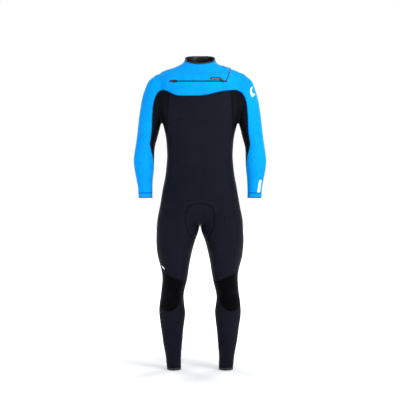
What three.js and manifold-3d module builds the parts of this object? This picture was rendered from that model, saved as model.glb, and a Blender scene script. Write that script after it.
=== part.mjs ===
// Full-length chest-zip wetsuit in its worn shape, cut into the neoprene panels it is sewn from.
// Millimetres. +Z is up, +X is the wearer's left and the chest faces -Y.
// The origin is midway between the ankles, on the plane of the ankle hems.

import * as THREE from 'three';
import { mergeVertices } from 'three/addons/utils/BufferGeometryUtils.js';
import Module from 'manifold-3d';

const wasm = await Module();
wasm.setup();

// ---------------------------------------------------------------- driving dimensions

const inseam = 722;
const torsoLength = 868;
const sleeveLength = 602;
const neopreneThickness = 4;
const ankleWidth = 72;
const calfWidth = 131;
const kneeWidth = 117;
const thighWidth = 205;
const hipWidth = 404;
const waistWidth = 324;
const chestWidth = 436;
const neckWidth = 146;
const shoulderSpread = 5;
const wristWidth = 70;
const elbowWidth = 100;
const upperArmWidth = 112;

const seamGap = 0.35;
const collarHeight = 38;
const bindingHeight = 5;
const cuffHeight = 25;
const ankleHemHeight = 12;
const elbowReach = 95;
const kneeReach = 100;

const zipCloseX = 112;
const zipBaseX = -148;
const zipStopX = 130;
const zipEdgeX = 151;
const zipStandoff = 2.2;
const zipSlot = 7;
const tapeReach = 14;
const tapeThickness = 1.2;
const teethHeight = 2.3;
const teethThickness = 3;
const teethGap = 1.6;
const sliderLength = 18;
const sliderWidth = 10;
const sliderPlate = 2.2;
const sliderClearance = 0.7;
const pullTabLength = 76;
const pullTabWidth = 14;
const pullTabThickness = 2;
const pullTabRise = 12;
const linerThickness = 2;
const printThickness = 0.6;

// Heights of the body's landmarks, worked out from the lengths above.
const crotchHeight = inseam;
const onTorso = (share) => crotchHeight + share * torsoLength;
const onLeg = (share) => share * inseam;
const kneeHeight = onLeg(0.547);
const zipHeight = onTorso(0.8226);
const shoulderHeight = onTorso(0.855);
const wristHeight = shoulderHeight - sleeveLength;
const onArm = (share) => shoulderHeight - share * sleeveLength;
const elbowHeight = onArm(0.64);
const collarFrontHeight = onTorso(0.932);
const collarBackHeight = onTorso(0.972);

// ---------------------------------------------------------------- body sections

// One horizontal section of a limb: its height, the x and y of its middle, its full width, and how
// far it reaches to the front and to the back of that middle. A higher squareness is boxier.
const section = (z, x, y, width, front, back, squareness = 2) => ({
  z, x, y, half: width / 2, front, back, squareness,
});

// The stiff zip holds the upper chest upright for this far above and below it.
const flatByZip = 17;

const torsoSections = [
  section(onTorso(0.01), 0, 8, 0.3 * hipWidth, 52, 60),
  section(onTorso(0.045), 0, 6, 0.74 * hipWidth, 84, 90),
  section(onTorso(0.09), 0, 2, hipWidth, 104, 116, 2.2),
  section(onTorso(0.138), 0, 0, 0.96 * hipWidth, 108, 124, 2.5),
  section(onTorso(0.22), 0, 0, 0.9 * hipWidth, 105, 108, 2.5),
  section(onTorso(0.303), 0, 0, 1.045 * waistWidth, 102, 92, 2.5),
  section(onTorso(0.4), 0, 0, waistWidth, 104, 90, 2.5),
  section(onTorso(0.507), 0, 0, 1.04 * waistWidth, 113, 106, 2.5),
  section(onTorso(0.59), 0, 0, 0.855 * chestWidth, 123, 117, 2.5),
  section(onTorso(0.68), 0, 0, 0.98 * chestWidth, 128, 124, 2.5),
  section(onTorso(0.76), 0, 0, chestWidth, 125, 128, 2.5),
  section(zipHeight - flatByZip, 0, 0, 0.97 * chestWidth, 118, 125, 2.15),
  section(zipHeight + flatByZip, 0, 0, 0.97 * chestWidth, 118, 122, 2.15),
  section(onTorso(0.866), 0, 0, 0.86 * chestWidth, 103, 112, 2.2),
  section(onTorso(0.888), 0, 0, 0.71 * chestWidth, 90, 102, 2.1),
  section(onTorso(0.908), 0, 0, 1.6 * neckWidth, 79, 92, 2),
  section(onTorso(0.924), 0, 0, 1.2 * neckWidth, 71, 84, 2),
  section(onTorso(0.944), 0, 0, 1.03 * neckWidth, 66, 79, 2),
  section(onTorso(0.972), 0, 0, neckWidth, 63, 76, 2),
  section(onTorso(1), 0, 0, neckWidth, 62, 75, 2),
];

// The arm's middle follows the chest's width, so the sleeves stay on the shoulders.
const armX = (offset) => chestWidth / 2 + shoulderSpread + offset;

const armSections = [
  section(onArm(0), armX(-35), 4, 0.68 * upperArmWidth, 40, 42),
  section(onArm(0.036), armX(-27), 4, 1.02 * upperArmWidth, 54, 56),
  section(onArm(0.073), armX(-22), 4, 1.13 * upperArmWidth, 60, 62),
  section(onArm(0.136), armX(-12), 4, 1.15 * upperArmWidth, 64, 66),
  section(onArm(0.235), armX(3), 5, 1.15 * upperArmWidth, 62, 65),
  section(onArm(0.336), armX(17), 7, 1.1 * upperArmWidth, 58, 61),
  section(onArm(0.402), armX(28), 8, upperArmWidth, 54, 58),
  section(onArm(0.502), armX(39), 10, 1.04 * elbowWidth, 51, 54),
  section(onArm(0.588), armX(50), 11, 0.98 * elbowWidth, 49, 50),
  section(onArm(0.69), armX(54.5), 8, 1.02 * elbowWidth, 50, 48),
  section(onArm(0.767), armX(53), 3, 0.96 * elbowWidth, 47, 44),
  section(onArm(0.834), armX(52), -3, 0.85 * elbowWidth, 41, 38),
  section(onArm(0.92), armX(48.5), -11, 1.05 * wristWidth, 32, 30),
  section(onArm(1), armX(47), -14, wristWidth, 28, 27),
];

const legSections = [
  section(onLeg(0), 130, 12, ankleWidth, 44, 48),
  section(onLeg(0.083), 133, 13, 1.06 * ankleWidth, 45, 48),
  section(onLeg(0.169), 136, 13, 1.28 * ankleWidth, 48, 54),
  section(onLeg(0.28), 138.5, 12, 0.85 * calfWidth, 53, 64),
  section(onLeg(0.391), 139.5, 10, calfWidth, 58, 69),
  section(onLeg(0.512), 139, 4, 0.99 * kneeWidth, 61, 61),
  section(onLeg(0.557), 134.5, 0, kneeWidth, 64, 58),
  section(onLeg(0.612), 127.5, 0, 1.05 * kneeWidth, 66, 59),
  section(onLeg(0.668), 124.5, 0, 1.12 * kneeWidth, 69, 65),
  section(onLeg(0.778), 127.5, 0, 0.795 * thighWidth, 82, 81),
  section(onLeg(0.87), 124.5, 1, 0.905 * thighWidth, 92, 93),
  section(onLeg(0.96), 115, 4, 0.98 * thighWidth, 99, 105),
  section(onLeg(1.053), 108, 6, thighWidth, 100, 110),
  section(onLeg(1.163), 100, 6, 0.88 * thighWidth, 90, 100),
];

const torsoSides = 20;
const armSides = 10;
const legSides = 12;
const runPast = 30;

// ---------------------------------------------------------------- solids

const toSolid = (geometry) => {
  const bare = geometry.index ? geometry.toNonIndexed() : geometry.clone();
  bare.deleteAttribute('normal');
  bare.deleteAttribute('uv');
  const merged = mergeVertices(bare, 1e-4);
  return new wasm.Manifold(new wasm.Mesh({
    numProp: 3,
    vertProperties: new Float32Array(merged.attributes.position.array),
    triVerts: new Uint32Array(merged.index.array),
  }));
};

const powered = (value, squareness) => Math.sign(value) * Math.abs(value) ** (2 / squareness);

const sectionPoint = (s, turn, inset) => {
  const depth = Math.sin(turn) < 0 ? s.front : s.back;
  return new THREE.Vector3(
    s.x + powered(Math.cos(turn), s.squareness) * (s.half - inset),
    s.y + powered(Math.sin(turn), s.squareness) * (depth - inset),
    s.z,
  );
};

// Closed limb through its sections, drawn in by an inset; a negative inset stands it proud.
const loft = (sections, sides, inset, side = 1) => {
  const points = [];
  for (const s of sections) {
    for (let i = 0; i < sides; i += 1) {
      const p = sectionPoint(s, (2 * Math.PI * (i + 0.5)) / sides, inset);
      points.push(side * p.x, p.y, p.z);
    }
  }
  const ends = [sections[0], sections[sections.length - 1]];
  for (const s of ends) {
    points.push(side * s.x, s.y, s.z);
  }
  const base = sections.length * sides;
  const faces = [];
  for (let i = 0; i < sides; i += 1) {
    const next = (i + 1) % sides;
    for (let row = 0; row + 1 < sections.length; row += 1) {
      const low = row * sides;
      const high = low + sides;
      faces.push(low + i, low + next, high + next, low + i, high + next, high + i);
    }
    const top = (sections.length - 1) * sides;
    faces.push(base, next, i);
    faces.push(base + 1, top + i, top + next);
  }
  const rising = sections[0].z < sections[sections.length - 1].z;
  if (rising !== (side > 0)) {
    for (let f = 0; f < faces.length; f += 3) {
      [faces[f + 1], faces[f + 2]] = [faces[f + 2], faces[f + 1]];
    }
  }
  const geometry = new THREE.BufferGeometry();
  geometry.setAttribute('position', new THREE.Float32BufferAttribute(points, 3));
  geometry.setIndex(faces);
  return toSolid(geometry);
};

const extended = (sections, end) => {
  const last = end === 'first' ? sections[0] : sections[sections.length - 1];
  const next = end === 'first' ? sections[1] : sections[sections.length - 2];
  const past = { ...last, z: last.z + Math.sign(last.z - next.z) * runPast };
  return end === 'first' ? [past, ...sections] : [...sections, past];
};

const box = (low, high) => {
  const size = high.map((value, i) => value - low[i]);
  const geometry = new THREE.BoxGeometry(...size);
  geometry.translate(...low.map((value, i) => value + size[i] / 2));
  return toSolid(geometry);
};

const grownOutline = (points, grow) => points.map((point, i) => {
  const before = points[(i + points.length - 1) % points.length];
  const after = points[(i + 1) % points.length];
  const into = point.clone().sub(before).normalize();
  const out = after.clone().sub(point).normalize();
  const normal = new THREE.Vector2(into.y + out.y, -into.x - out.x).normalize();
  const stretch = Math.max(0.4, normal.dot(new THREE.Vector2(into.y, -into.x)));
  return point.clone().addScaledVector(normal, grow / stretch);
});

const outline = (points, grow) => {
  const corners = points.map(([a, b]) => new THREE.Vector2(a, b));
  const anticlockwise = THREE.ShapeUtils.area(corners) > 0 ? corners : corners.reverse();
  return new THREE.Shape(grownOutline(anticlockwise, grow));
};

// Prism of an outline drawn in the front view (x, z), running from one y to another.
const frontPrism = (points, yLow, yHigh, grow = 0) => {
  const depth = yHigh - yLow + 2 * grow;
  const geometry = new THREE.ExtrudeGeometry(outline(points, grow), { depth, bevelEnabled: false });
  geometry.rotateX(Math.PI / 2);
  geometry.translate(0, yHigh + grow, 0);
  return toSolid(geometry);
};

// Prism of an outline drawn in the side view (y, z), running right across the suit.
const sidePrism = (points, grow = 0) => {
  const turned = points.map(([y, z]) => [z, -y]);
  const depth = 2 * farOut;
  const geometry = new THREE.ExtrudeGeometry(outline(turned, grow), { depth, bevelEnabled: false });
  geometry.applyMatrix4(new THREE.Matrix4().set(
    0, 0, 1, -farOut,
    0, -1, 0, 0,
    1, 0, 0, 0,
    0, 0, 0, 1,
  ));
  return toSolid(geometry);
};

const farOut = 600;
const mirrored = (points, side) => points.map(([x, z]) => [side * x, z]);

// ---------------------------------------------------------------- the shell

const body = (torso, arm, leg, inset) => {
  const limbs = [1, -1].flatMap((side) => [
    loft(arm, armSides, inset, side),
    loft(leg, legSides, inset, side),
  ]);
  return limbs.reduce((whole, limb) => whole.add(limb), loft(torso, torsoSides, inset));
};
const wholeTorso = extended(torsoSections, 'last');
const skin = body(wholeTorso, armSections, legSections, 0);

// Inside, the neck, wrists and ankles run past their ends, and the closed ends inside the body
// are one wall further in.
const shifted = (sections, rise) => [{ ...sections[0], z: sections[0].z + rise }, ...sections.slice(1)];
const hollow = body(
  shifted(wholeTorso, neopreneThickness),
  shifted(extended(armSections, 'last'), -neopreneThickness),
  extended(legSections, 'first'),
  neopreneThickness,
);

// The collar's rim drops from the nape to the throat; every cut round the neck is parallel to it.
const throatY = -63;
const napeY = 76;
const rimSlope = (collarBackHeight - collarFrontHeight) / (napeY - throatY);
const rimHeight = (y, drop) => collarFrontHeight + rimSlope * (y - throatY) - drop;
const neckBand = (topDrop, bottomDrop) => [
  [-farOut, rimHeight(-farOut, bottomDrop)],
  [farOut, rimHeight(farOut, bottomDrop)],
  [farOut, rimHeight(farOut, topDrop)],
  [-farOut, rimHeight(-farOut, topDrop)],
];
const aboveRim = sidePrism(neckBand(-2 * farOut, 0));

let suit = skin.subtract(hollow).subtract(aboveRim);

const panels = [];
const finishPanel = (name, solid, look) => panels.push({ name, solid, look });

// Cuts one panel out of what is left of the shell, and leaves the seam's gap around it.
const cutPanel = (name, look, region) => {
  finishPanel(name, suit.intersect(region(0)), look);
  suit = suit.subtract(region(seamGap));
};

// ---------------------------------------------------------------- looks

const look = (color, roughness, metalness = 0) => ({ color, roughness, metalness });
const blueJersey = look(0x069be0, 0.75);
const heatherJersey = look(0x23232c, 0.85);
const blackJersey = look(0x121218, 0.85);
const kneeRubber = look(0x0d0d11, 0.7);
const smoothSkin = look(0x101014, 0.45);
const zipPlastic = look(0x0c0c0e, 0.4);
const zipTape = look(0x17171a, 0.9);
const whitePrint = look(0xf2f4f5, 0.6);

// ---------------------------------------------------------------- seam lines

const zip = { left: zipBaseX - 3, right: zipStopX + 2 };
const shoulderY = 12;
const sideY = 4;
const hipBackHeight = onTorso(0.24);
const gussetTop = onTorso(0.134);
const gussetBackTop = onTorso(0.08);
const gussetHalf = 72;
const hipEdgeX = armX(3);
const sides = { left: 1, right: -1 };

const armAt = (z) => {
  const above = armSections.findIndex((s) => s.z <= z);
  const low = armSections[above];
  const high = armSections[above - 1];
  return low.x + ((high.x - low.x) * (z - low.z)) / (high.z - low.z);
};

// The seam between the blue and the black, from the breastbone over the arch in front of the
// armpit and down the inside of the arm, where it ends in a point below the elbow.
const chestSeam = [
  [0, onTorso(0.7395)],
  [0.275 * chestWidth, onTorso(0.744)],
  [0.5 * chestWidth, onTorso(0.7585)],
  [0.69 * chestWidth, onTorso(0.769)],
  [0.845 * chestWidth, onTorso(0.7725)],
  [0.945 * chestWidth, onTorso(0.752)],
].map(([width, z]) => [width / 2, z]);
const armSeam = [[0.19, -2], [0.26, -5], [0.34, -7], [0.45, -15], [0.52, -17], [0.56, -21],
  [0.61, -31], [0.66, -40], [0.72, -47], [0.79, -53]]
  .map(([share, offset]) => [armAt(onArm(share)) + offset, onArm(share)]);
const colourSeam = [...chestSeam, ...armSeam];
const seamAt = (z) => {
  const next = armSeam.findIndex((p) => p[1] <= z);
  const [low, high] = [armSeam[next], armSeam[next - 1]];
  return low[0] + ((high[0] - low[0]) * (z - low[1])) / (high[1] - low[1]);
};

const archX = 0.422 * chestWidth;
const armholeX = 0.39 * chestWidth;
const elbowTop = elbowHeight + elbowReach;
const elbowBottom = elbowHeight - elbowReach;
const kneeTop = kneeHeight + kneeReach;
const kneeBottom = kneeHeight - kneeReach;
const armpitX = armX(-32);

// ---------------------------------------------------------------- collar, cuffs and hems

cutPanel('collar_binding', smoothSkin, (grow) => sidePrism(neckBand(-bindingHeight, bindingHeight), grow));
cutPanel('collar', blueJersey, (grow) => sidePrism(neckBand(0, collarHeight), grow));

for (const [name, side] of Object.entries(sides)) {
  const cuffOutline = mirrored([
    [armX(0), wristHeight - runPast],
    [farOut, wristHeight - runPast],
    [farOut, wristHeight + cuffHeight],
    [armX(0), wristHeight + cuffHeight],
  ], side);
  cutPanel(`cuff_${name}`, blueJersey, (grow) => frontPrism(cuffOutline, -farOut, farOut, grow));
  const hemOutline = mirrored([
    [0, -runPast],
    [farOut, -runPast],
    [farOut, ankleHemHeight],
    [0, ankleHemHeight],
  ], side);
  cutPanel(`ankle_hem_${name}`, smoothSkin, (grow) => frontPrism(hemOutline, -farOut, farOut, grow));
}

// The zip lies in a slot between the yoke and the entry flap.
suit = suit.subtract(box(
  [zip.left, -farOut, zipHeight - zipSlot],
  [zip.right, 0, zipHeight + zipSlot],
));

// ---------------------------------------------------------------- crotch gusset and legs

const gussetArch = (top, half) => [
  [-20, onLeg(0.9)],
  [-0.7 * half, onLeg(0.945)],
  [-0.95 * half, onTorso(0)],
  [-half, onTorso(0.045)],
  [-0.9 * half, top - 30],
  [-0.6 * half, top - 8],
  [0, top],
  [0.6 * half, top - 8],
  [0.9 * half, top - 30],
  [half, onTorso(0.045)],
  [0.95 * half, onTorso(0)],
  [0.7 * half, onLeg(0.945)],
  [20, onLeg(0.9)],
];
cutPanel('crotch_gusset', heatherJersey, (grow) => {
  const front = frontPrism(gussetArch(gussetTop, gussetHalf), -farOut, sideY + 1, grow);
  return front.add(frontPrism(gussetArch(gussetBackTop, 0.8 * gussetHalf), sideY, farOut, grow));
});

for (const [name, side] of Object.entries(sides)) {
  const kneePatch = mirrored([
    [0, onLeg(0.6)],
    [72, onLeg(0.619)],
    [130, onLeg(0.649)],
    [farOut, onLeg(0.93)],
    [farOut, onLeg(0.44)],
    [195, onLeg(0.443)],
    [180, onLeg(0.425)],
    [155, onLeg(0.416)],
    [130, onLeg(0.426)],
    [110, onLeg(0.455)],
    [96, onLeg(0.5)],
    [80, onLeg(0.54)],
    [0, onLeg(0.56)],
  ], side);
  const kneeBand = mirrored([
    [1, kneeBottom],
    [farOut, kneeBottom],
    [farOut, kneeTop],
    [1, kneeTop],
  ], side);
  cutPanel(`knee_panel_${name}`, kneeRubber, (grow) => (
    frontPrism(kneePatch, -farOut, sideY, grow).intersect(
      frontPrism(kneeBand, -farOut, farOut, grow),
    )));
  cutPanel(`knee_back_${name}`, blackJersey, (grow) => (
    frontPrism(kneeBand, sideY, farOut, grow)));
  const lowerLeg = mirrored([
    [1, 0],
    [farOut, 0],
    [farOut, kneeHeight + 10],
    [1, kneeHeight + 10],
  ], side);
  cutPanel(`calf_panel_${name}`, heatherJersey, (grow) => frontPrism(lowerLeg, sideY, farOut, grow));
  cutPanel(`shin_panel_${name}`, heatherJersey, (grow) => frontPrism(lowerLeg, -farOut, sideY, grow));
  const thighFront = mirrored([
    [seamGap / 2, kneeHeight],
    [farOut, kneeHeight],
    [farOut, onTorso(0.18)],
    [220, onTorso(0.18)],
    [130, onTorso(0.135)],
    [60, onTorso(0.115)],
    [seamGap / 2, onTorso(0.108)],
  ], side);
  cutPanel(`thigh_front_${name}`, heatherJersey, (grow) => (
    frontPrism(thighFront, -farOut, sideY, grow)));
  const thighBack = mirrored([
    [seamGap / 2, kneeHeight],
    [hipEdgeX, kneeHeight],
    [hipEdgeX, hipBackHeight],
    [seamGap / 2, hipBackHeight],
  ], side);
  cutPanel(`thigh_back_${name}`, heatherJersey, (grow) => frontPrism(thighBack, sideY, farOut, grow));
}

// ---------------------------------------------------------------- sleeves and underarms

for (const [name, side] of Object.entries(sides)) {
  const forearm = mirrored([
    [armX(0), wristHeight],
    [farOut, wristHeight],
    [farOut, elbowBottom],
    [armX(0), elbowBottom],
  ], side);
  cutPanel(`forearm_sleeve_${name}`, blueJersey, (grow) => frontPrism(forearm, -farOut, farOut, grow));
  const aroundElbow = armSeam.filter((p) => p[1] < elbowTop && p[1] > elbowBottom);
  const elbowInner = mirrored([
    [armpitX, elbowBottom],
    [armpitX, elbowTop],
    [seamAt(elbowTop), elbowTop],
    ...aroundElbow,
    [armAt(elbowBottom) - 56, elbowBottom],
  ], side);
  cutPanel(`elbow_underarm_${name}`, blackJersey, (grow) => (
    frontPrism(elbowInner, -farOut, farOut, grow)));
  const elbowOuter = mirrored([
    [armpitX, elbowBottom],
    [armpitX, elbowTop],
    [farOut, elbowTop],
    [farOut, elbowBottom],
  ], side);
  cutPanel(`elbow_sleeve_${name}`, blueJersey, (grow) => (
    frontPrism(elbowOuter, -farOut, farOut, grow)));
  const aboveElbow = colourSeam.filter((p) => p[0] > archX - 1 && p[1] > elbowTop);
  const underarm = mirrored([
    [0.345 * chestWidth, onTorso(0.7695)],
    ...aboveElbow,
    [seamAt(elbowTop), elbowTop],
    [armpitX, elbowTop],
    [armpitX, onTorso(0.478)],
    [0.405 * chestWidth, onTorso(0.478)],
    [0.385 * chestWidth, onTorso(0.52)],
    [0.378 * chestWidth, onTorso(0.6)],
    [0.365 * chestWidth, onTorso(0.69)],
  ], side);
  cutPanel(`underarm_${name}`, blackJersey, (grow) => frontPrism(underarm, -farOut, farOut, grow));
  const sleeve = mirrored([
    [armholeX, onTorso(0.95)],
    [0.41 * chestWidth, onTorso(0.83)],
    [archX, onTorso(0.773)],
    [archX, elbowTop],
    [farOut, elbowTop],
    [farOut, onTorso(0.95)],
  ], side);
  cutPanel(`upper_sleeve_${name}`, blueJersey, (grow) => frontPrism(sleeve, -farOut, farOut, grow));
}

// ---------------------------------------------------------------- yoke, flap, chest and back

const flapOutline = [
  [zip.left, zipHeight],
  [-zipEdgeX, collarFrontHeight - 10],
  [-zipEdgeX, collarBackHeight + collarHeight],
  [zipEdgeX + 12, collarBackHeight + collarHeight],
  [zipEdgeX, onTorso(0.905)],
  [zipEdgeX - 9, onTorso(0.87)],
  [zip.right, onTorso(0.838)],
  [zip.right, zipHeight],
];
cutPanel('entry_flap', blueJersey, (grow) => frontPrism(flapOutline, -farOut, shoulderY, grow));

const yokeOutline = [
  ...mirrored(chestSeam, -1).reverse(),
  ...chestSeam.slice(1),
  [farOut, onTorso(0.752)],
  [farOut, onTorso(1)],
  [-farOut, onTorso(1)],
  [-farOut, onTorso(0.752)],
];
cutPanel('yoke_front', blueJersey, (grow) => frontPrism(yokeOutline, -farOut, shoulderY, grow));
cutPanel('yoke_back', blueJersey, (grow) => frontPrism(yokeOutline, shoulderY, farOut, grow));

const lowerBack = [
  [-farOut, hipBackHeight - 5],
  [farOut, hipBackHeight - 5],
  [farOut, onTorso(0.8)],
  [-farOut, onTorso(0.8)],
];
cutPanel('back_panel', blackJersey, (grow) => frontPrism(lowerBack, sideY, farOut, grow));
finishPanel('chest_panel', suit, heatherJersey);

// ---------------------------------------------------------------- chest zip

const sectionAt = (sections, z) => {
  const above = sections.findIndex((s) => s.z >= z);
  const [low, high] = [sections[above - 1], sections[above]];
  const mix = (z - low.z) / (high.z - low.z);
  const blended = { z };
  for (const key of ['x', 'y', 'half', 'front', 'back', 'squareness']) {
    blended[key] = low[key] + (high[key] - low[key]) * mix;
  }
  return blended;
};

// The zip follows the arc through the breastbone and two points on the chest beside it, so the
// slider turns about the middle of that arc.
const chestAtZip = sectionAt(torsoSections, zipHeight);
const chestDepthAt = (x) => {
  const share = Math.abs(x) / chestAtZip.half;
  return chestAtZip.front * (1 - share ** chestAtZip.squareness) ** (1 / chestAtZip.squareness);
};
const arcReach = 150;
const arcSag = chestAtZip.front - chestDepthAt(arcReach);
const chestRadius = (arcReach ** 2 + arcSag ** 2) / (2 * arcSag);
const zipRadius = chestRadius + zipStandoff;
const arcMiddleY = chestRadius - chestAtZip.front;
const turnAt = (x) => Math.asin(x / zipRadius);

// Curved bar that follows the zip's arc between two radii, two heights and two x positions.
const arcBar = (lowRadius, highRadius, lowZ, highZ, fromX, toX) => {
  const steps = Math.max(2, Math.ceil(Math.abs(toX - fromX) / 14));
  const turns = [...Array(steps + 1).keys()]
    .map((i) => turnAt(fromX) + ((turnAt(toX) - turnAt(fromX)) * i) / steps);
  const onArc = (turn, radius) => [radius * Math.sin(turn), arcMiddleY - radius * Math.cos(turn)];
  const points = [
    ...turns.map((turn) => onArc(turn, highRadius)),
    ...turns.reverse().map((turn) => onArc(turn, lowRadius)),
  ];
  const depth = highZ - lowZ;
  const geometry = new THREE.ExtrudeGeometry(outline(points, 0), { depth, bevelEnabled: false });
  geometry.translate(0, 0, lowZ);
  return toSolid(geometry);
};

const proudTorso = loft(wholeTorso, torsoSides, -seamGap);
const teethInner = teethGap / 2;
const teethOuter = teethInner + teethHeight;
const tapeInner = teethOuter + seamGap;
const tapeFoot = zipSlot + 0.5;
const halfTape = tapeThickness / 2;
const tapeRoot = zipRadius - neopreneThickness;

for (const [name, up] of [['upper', 1], ['lower', -1]]) {
  const bar = (low, high, near, far, fromX, toX) => arcBar(
    low,
    high,
    zipHeight + Math.min(up * near, up * far),
    zipHeight + Math.max(up * near, up * far),
    fromX,
    toX,
  );
  const face = bar(zipRadius - halfTape, zipRadius + halfTape, tapeInner, tapeReach, zipBaseX, zipStopX);
  const foot = bar(tapeRoot, zipRadius, tapeFoot, tapeReach, zipBaseX, zipStopX);
  finishPanel(`zip_tape_${name}`, face.add(foot).subtract(proudTorso), zipTape);
  const teethEnd = zipCloseX + sliderLength / 2;
  const halfTooth = teethThickness / 2;
  const teeth = bar(
    zipRadius - halfTooth,
    zipRadius + halfTooth,
    teethInner,
    teethOuter,
    zipBaseX,
    teethEnd,
  );
  finishPanel(`zip_teeth_${name}`, teeth, zipPlastic);
}

const plateInner = teethThickness / 2 + sliderClearance;
const plateOuter = plateInner + sliderPlate;
const sliderBar = (low, high, halfZ, fromX, toX) => arcBar(
  zipRadius + low,
  zipRadius + high,
  zipHeight - halfZ,
  zipHeight + halfZ,
  zipCloseX + fromX,
  zipCloseX + toX,
);
const halfSlider = sliderLength / 2;
const dividerHalf = teethGap / 2 - 0.3;
const lugHeight = 4;
const lugGap = 3;
const frontPlate = sliderBar(plateInner, plateOuter, sliderWidth / 2, -halfSlider, halfSlider);
const backPlate = sliderBar(-plateOuter, -plateInner, sliderWidth / 2, -halfSlider, halfSlider);
const divider = sliderBar(-plateOuter, plateOuter, dividerHalf, halfSlider - 5, halfSlider);
const lugs = sliderBar(plateOuter - 0.5, plateOuter + lugHeight, sliderWidth / 2, -2, 3)
  .subtract(sliderBar(plateOuter, plateOuter + lugHeight + 1, lugGap, -3, 4));
finishPanel('zip_slider', frontPlate.add(backPlate).add(divider).add(lugs), zipPlastic);

const stopFrom = halfSlider + 2;
const stopLength = 5;
const stopBlock = sliderBar(-halfTape, plateInner, teethOuter, stopFrom, stopFrom + stopLength);
finishPanel('zip_stop', stopBlock, zipPlastic);

// The box at the open end of the zip: a lens-shaped guard that stands over the ends of the tapes.
const guardLens = [];
const guardMiddle = zipBaseX + 22;
const guardHalfLength = 22;
const guardHalfHeight = 7;
const guardPoints = 8;
for (let i = 0; i < 2 * guardPoints; i += 1) {
  const turn = (Math.PI * i) / guardPoints;
  guardLens.push([
    guardMiddle + guardHalfLength * Math.cos(turn),
    zipHeight + guardHalfHeight * Math.sin(turn),
  ]);
}
const guardBlock = sliderBar(
  plateInner - 0.4,
  plateInner + 1.6,
  guardHalfHeight + 1,
  zipBaseX - zipCloseX - 2,
  zipBaseX - zipCloseX + 2 * guardHalfLength + 2,
).intersect(frontPrism(guardLens, -farOut, 0));
finishPanel('zip_guard', guardBlock, zipPlastic);

const pivotRadius = zipRadius + plateOuter + lugHeight / 2 + 0.5;
const tabEnd = zipCloseX - pullTabLength;
const tabOutline = [
  [zipCloseX + 2, zipHeight - lugGap + 0.4],
  [zipCloseX + 2, zipHeight + lugGap - 0.4],
  [zipCloseX - 10, zipHeight + lugGap - 0.4],
  [zipCloseX - 15, zipHeight + pullTabRise * 0.2 + pullTabWidth / 2],
  [tabEnd + 5, zipHeight + pullTabRise + pullTabWidth / 2],
  [tabEnd, zipHeight + pullTabRise + pullTabWidth / 4],
  [tabEnd, zipHeight + pullTabRise - pullTabWidth / 4],
  [tabEnd + 5, zipHeight + pullTabRise - pullTabWidth / 2],
  [zipCloseX - 15, zipHeight + pullTabRise * 0.2 - pullTabWidth / 2],
  [zipCloseX - 10, zipHeight - lugGap + 0.4],
];
const tabBand = arcBar(
  pivotRadius - pullTabThickness / 2,
  pivotRadius + pullTabThickness / 2,
  zipHeight - 2 * pullTabWidth,
  zipHeight + 2 * pullTabWidth + pullTabRise,
  tabEnd - 10,
  zipCloseX + 10,
);
finishPanel('pull_tab', tabBand.intersect(frontPrism(tabOutline, -farOut, 0)), zipPlastic);

// ---------------------------------------------------------------- inner liners

const lining = (thickness) => {
  const near = neopreneThickness + seamGap;
  return loft(wholeTorso, torsoSides, near).subtract(loft(wholeTorso, torsoSides, near + thickness));
};
const windFlap = box(
  [zip.left - 8, -farOut, zipHeight - 26],
  [zip.right + 8, 0, zipHeight + 26],
);
finishPanel('zip_wind_flap', lining(linerThickness).intersect(windFlap), smoothSkin);
const neckSeal = sidePrism(neckBand(bindingHeight, collarHeight - 6));
finishPanel('inner_neck_seal', lining(linerThickness).intersect(neckSeal), smoothSkin);

// ---------------------------------------------------------------- printed marks

const printOn = (sections, limbSides, side, points) => {
  const proud = loft(sections, limbSides, -seamGap - printThickness, side);
  const film = proud.subtract(loft(sections, limbSides, -seamGap, side));
  return film.intersect(frontPrism(points, -farOut, 0));
};
const shoulderMark = [
  [armX(34), onArm(0.085)],
  [armX(26), onArm(0.1)],
  [armX(24), onArm(0.14)],
  [armX(32), onArm(0.18)],
  [armX(44), onArm(0.19)],
  [armX(36), onArm(0.14)],
];
finishPanel('print_upper_arm', printOn(armSections, armSides, 1, shoulderMark), whitePrint);
const forearmBar = [
  [armX(70), onArm(0.81)],
  [armX(80), onArm(0.81)],
  [armX(75), onArm(0.93)],
  [armX(65), onArm(0.93)],
];
finishPanel('print_forearm', printOn(armSections, armSides, 1, forearmBar), whitePrint);
const kneeMark = [
  [-172, onLeg(0.7)],
  [-190, onLeg(0.715)],
  [-196, onLeg(0.745)],
  [-182, onLeg(0.73)],
];
finishPanel('print_thigh', printOn(legSections, legSides, -1, kneeMark), whitePrint);

// ---------------------------------------------------------------- scene graph

const toMesh = ({ name, solid, look: finish }) => {
  const mesh = solid.getMesh();
  const geometry = new THREE.BufferGeometry();
  geometry.setAttribute('position', new THREE.BufferAttribute(mesh.vertProperties, 3));
  geometry.setIndex(new THREE.BufferAttribute(mesh.triVerts, 1));
  const result = new THREE.Mesh(geometry, new THREE.MeshStandardMaterial(finish));
  result.name = name;
  return result;
};

const wetsuit = new THREE.Group();
wetsuit.name = 'wetsuit';
wetsuit.add(...panels.map(toMesh));

export default wetsuit;
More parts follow.
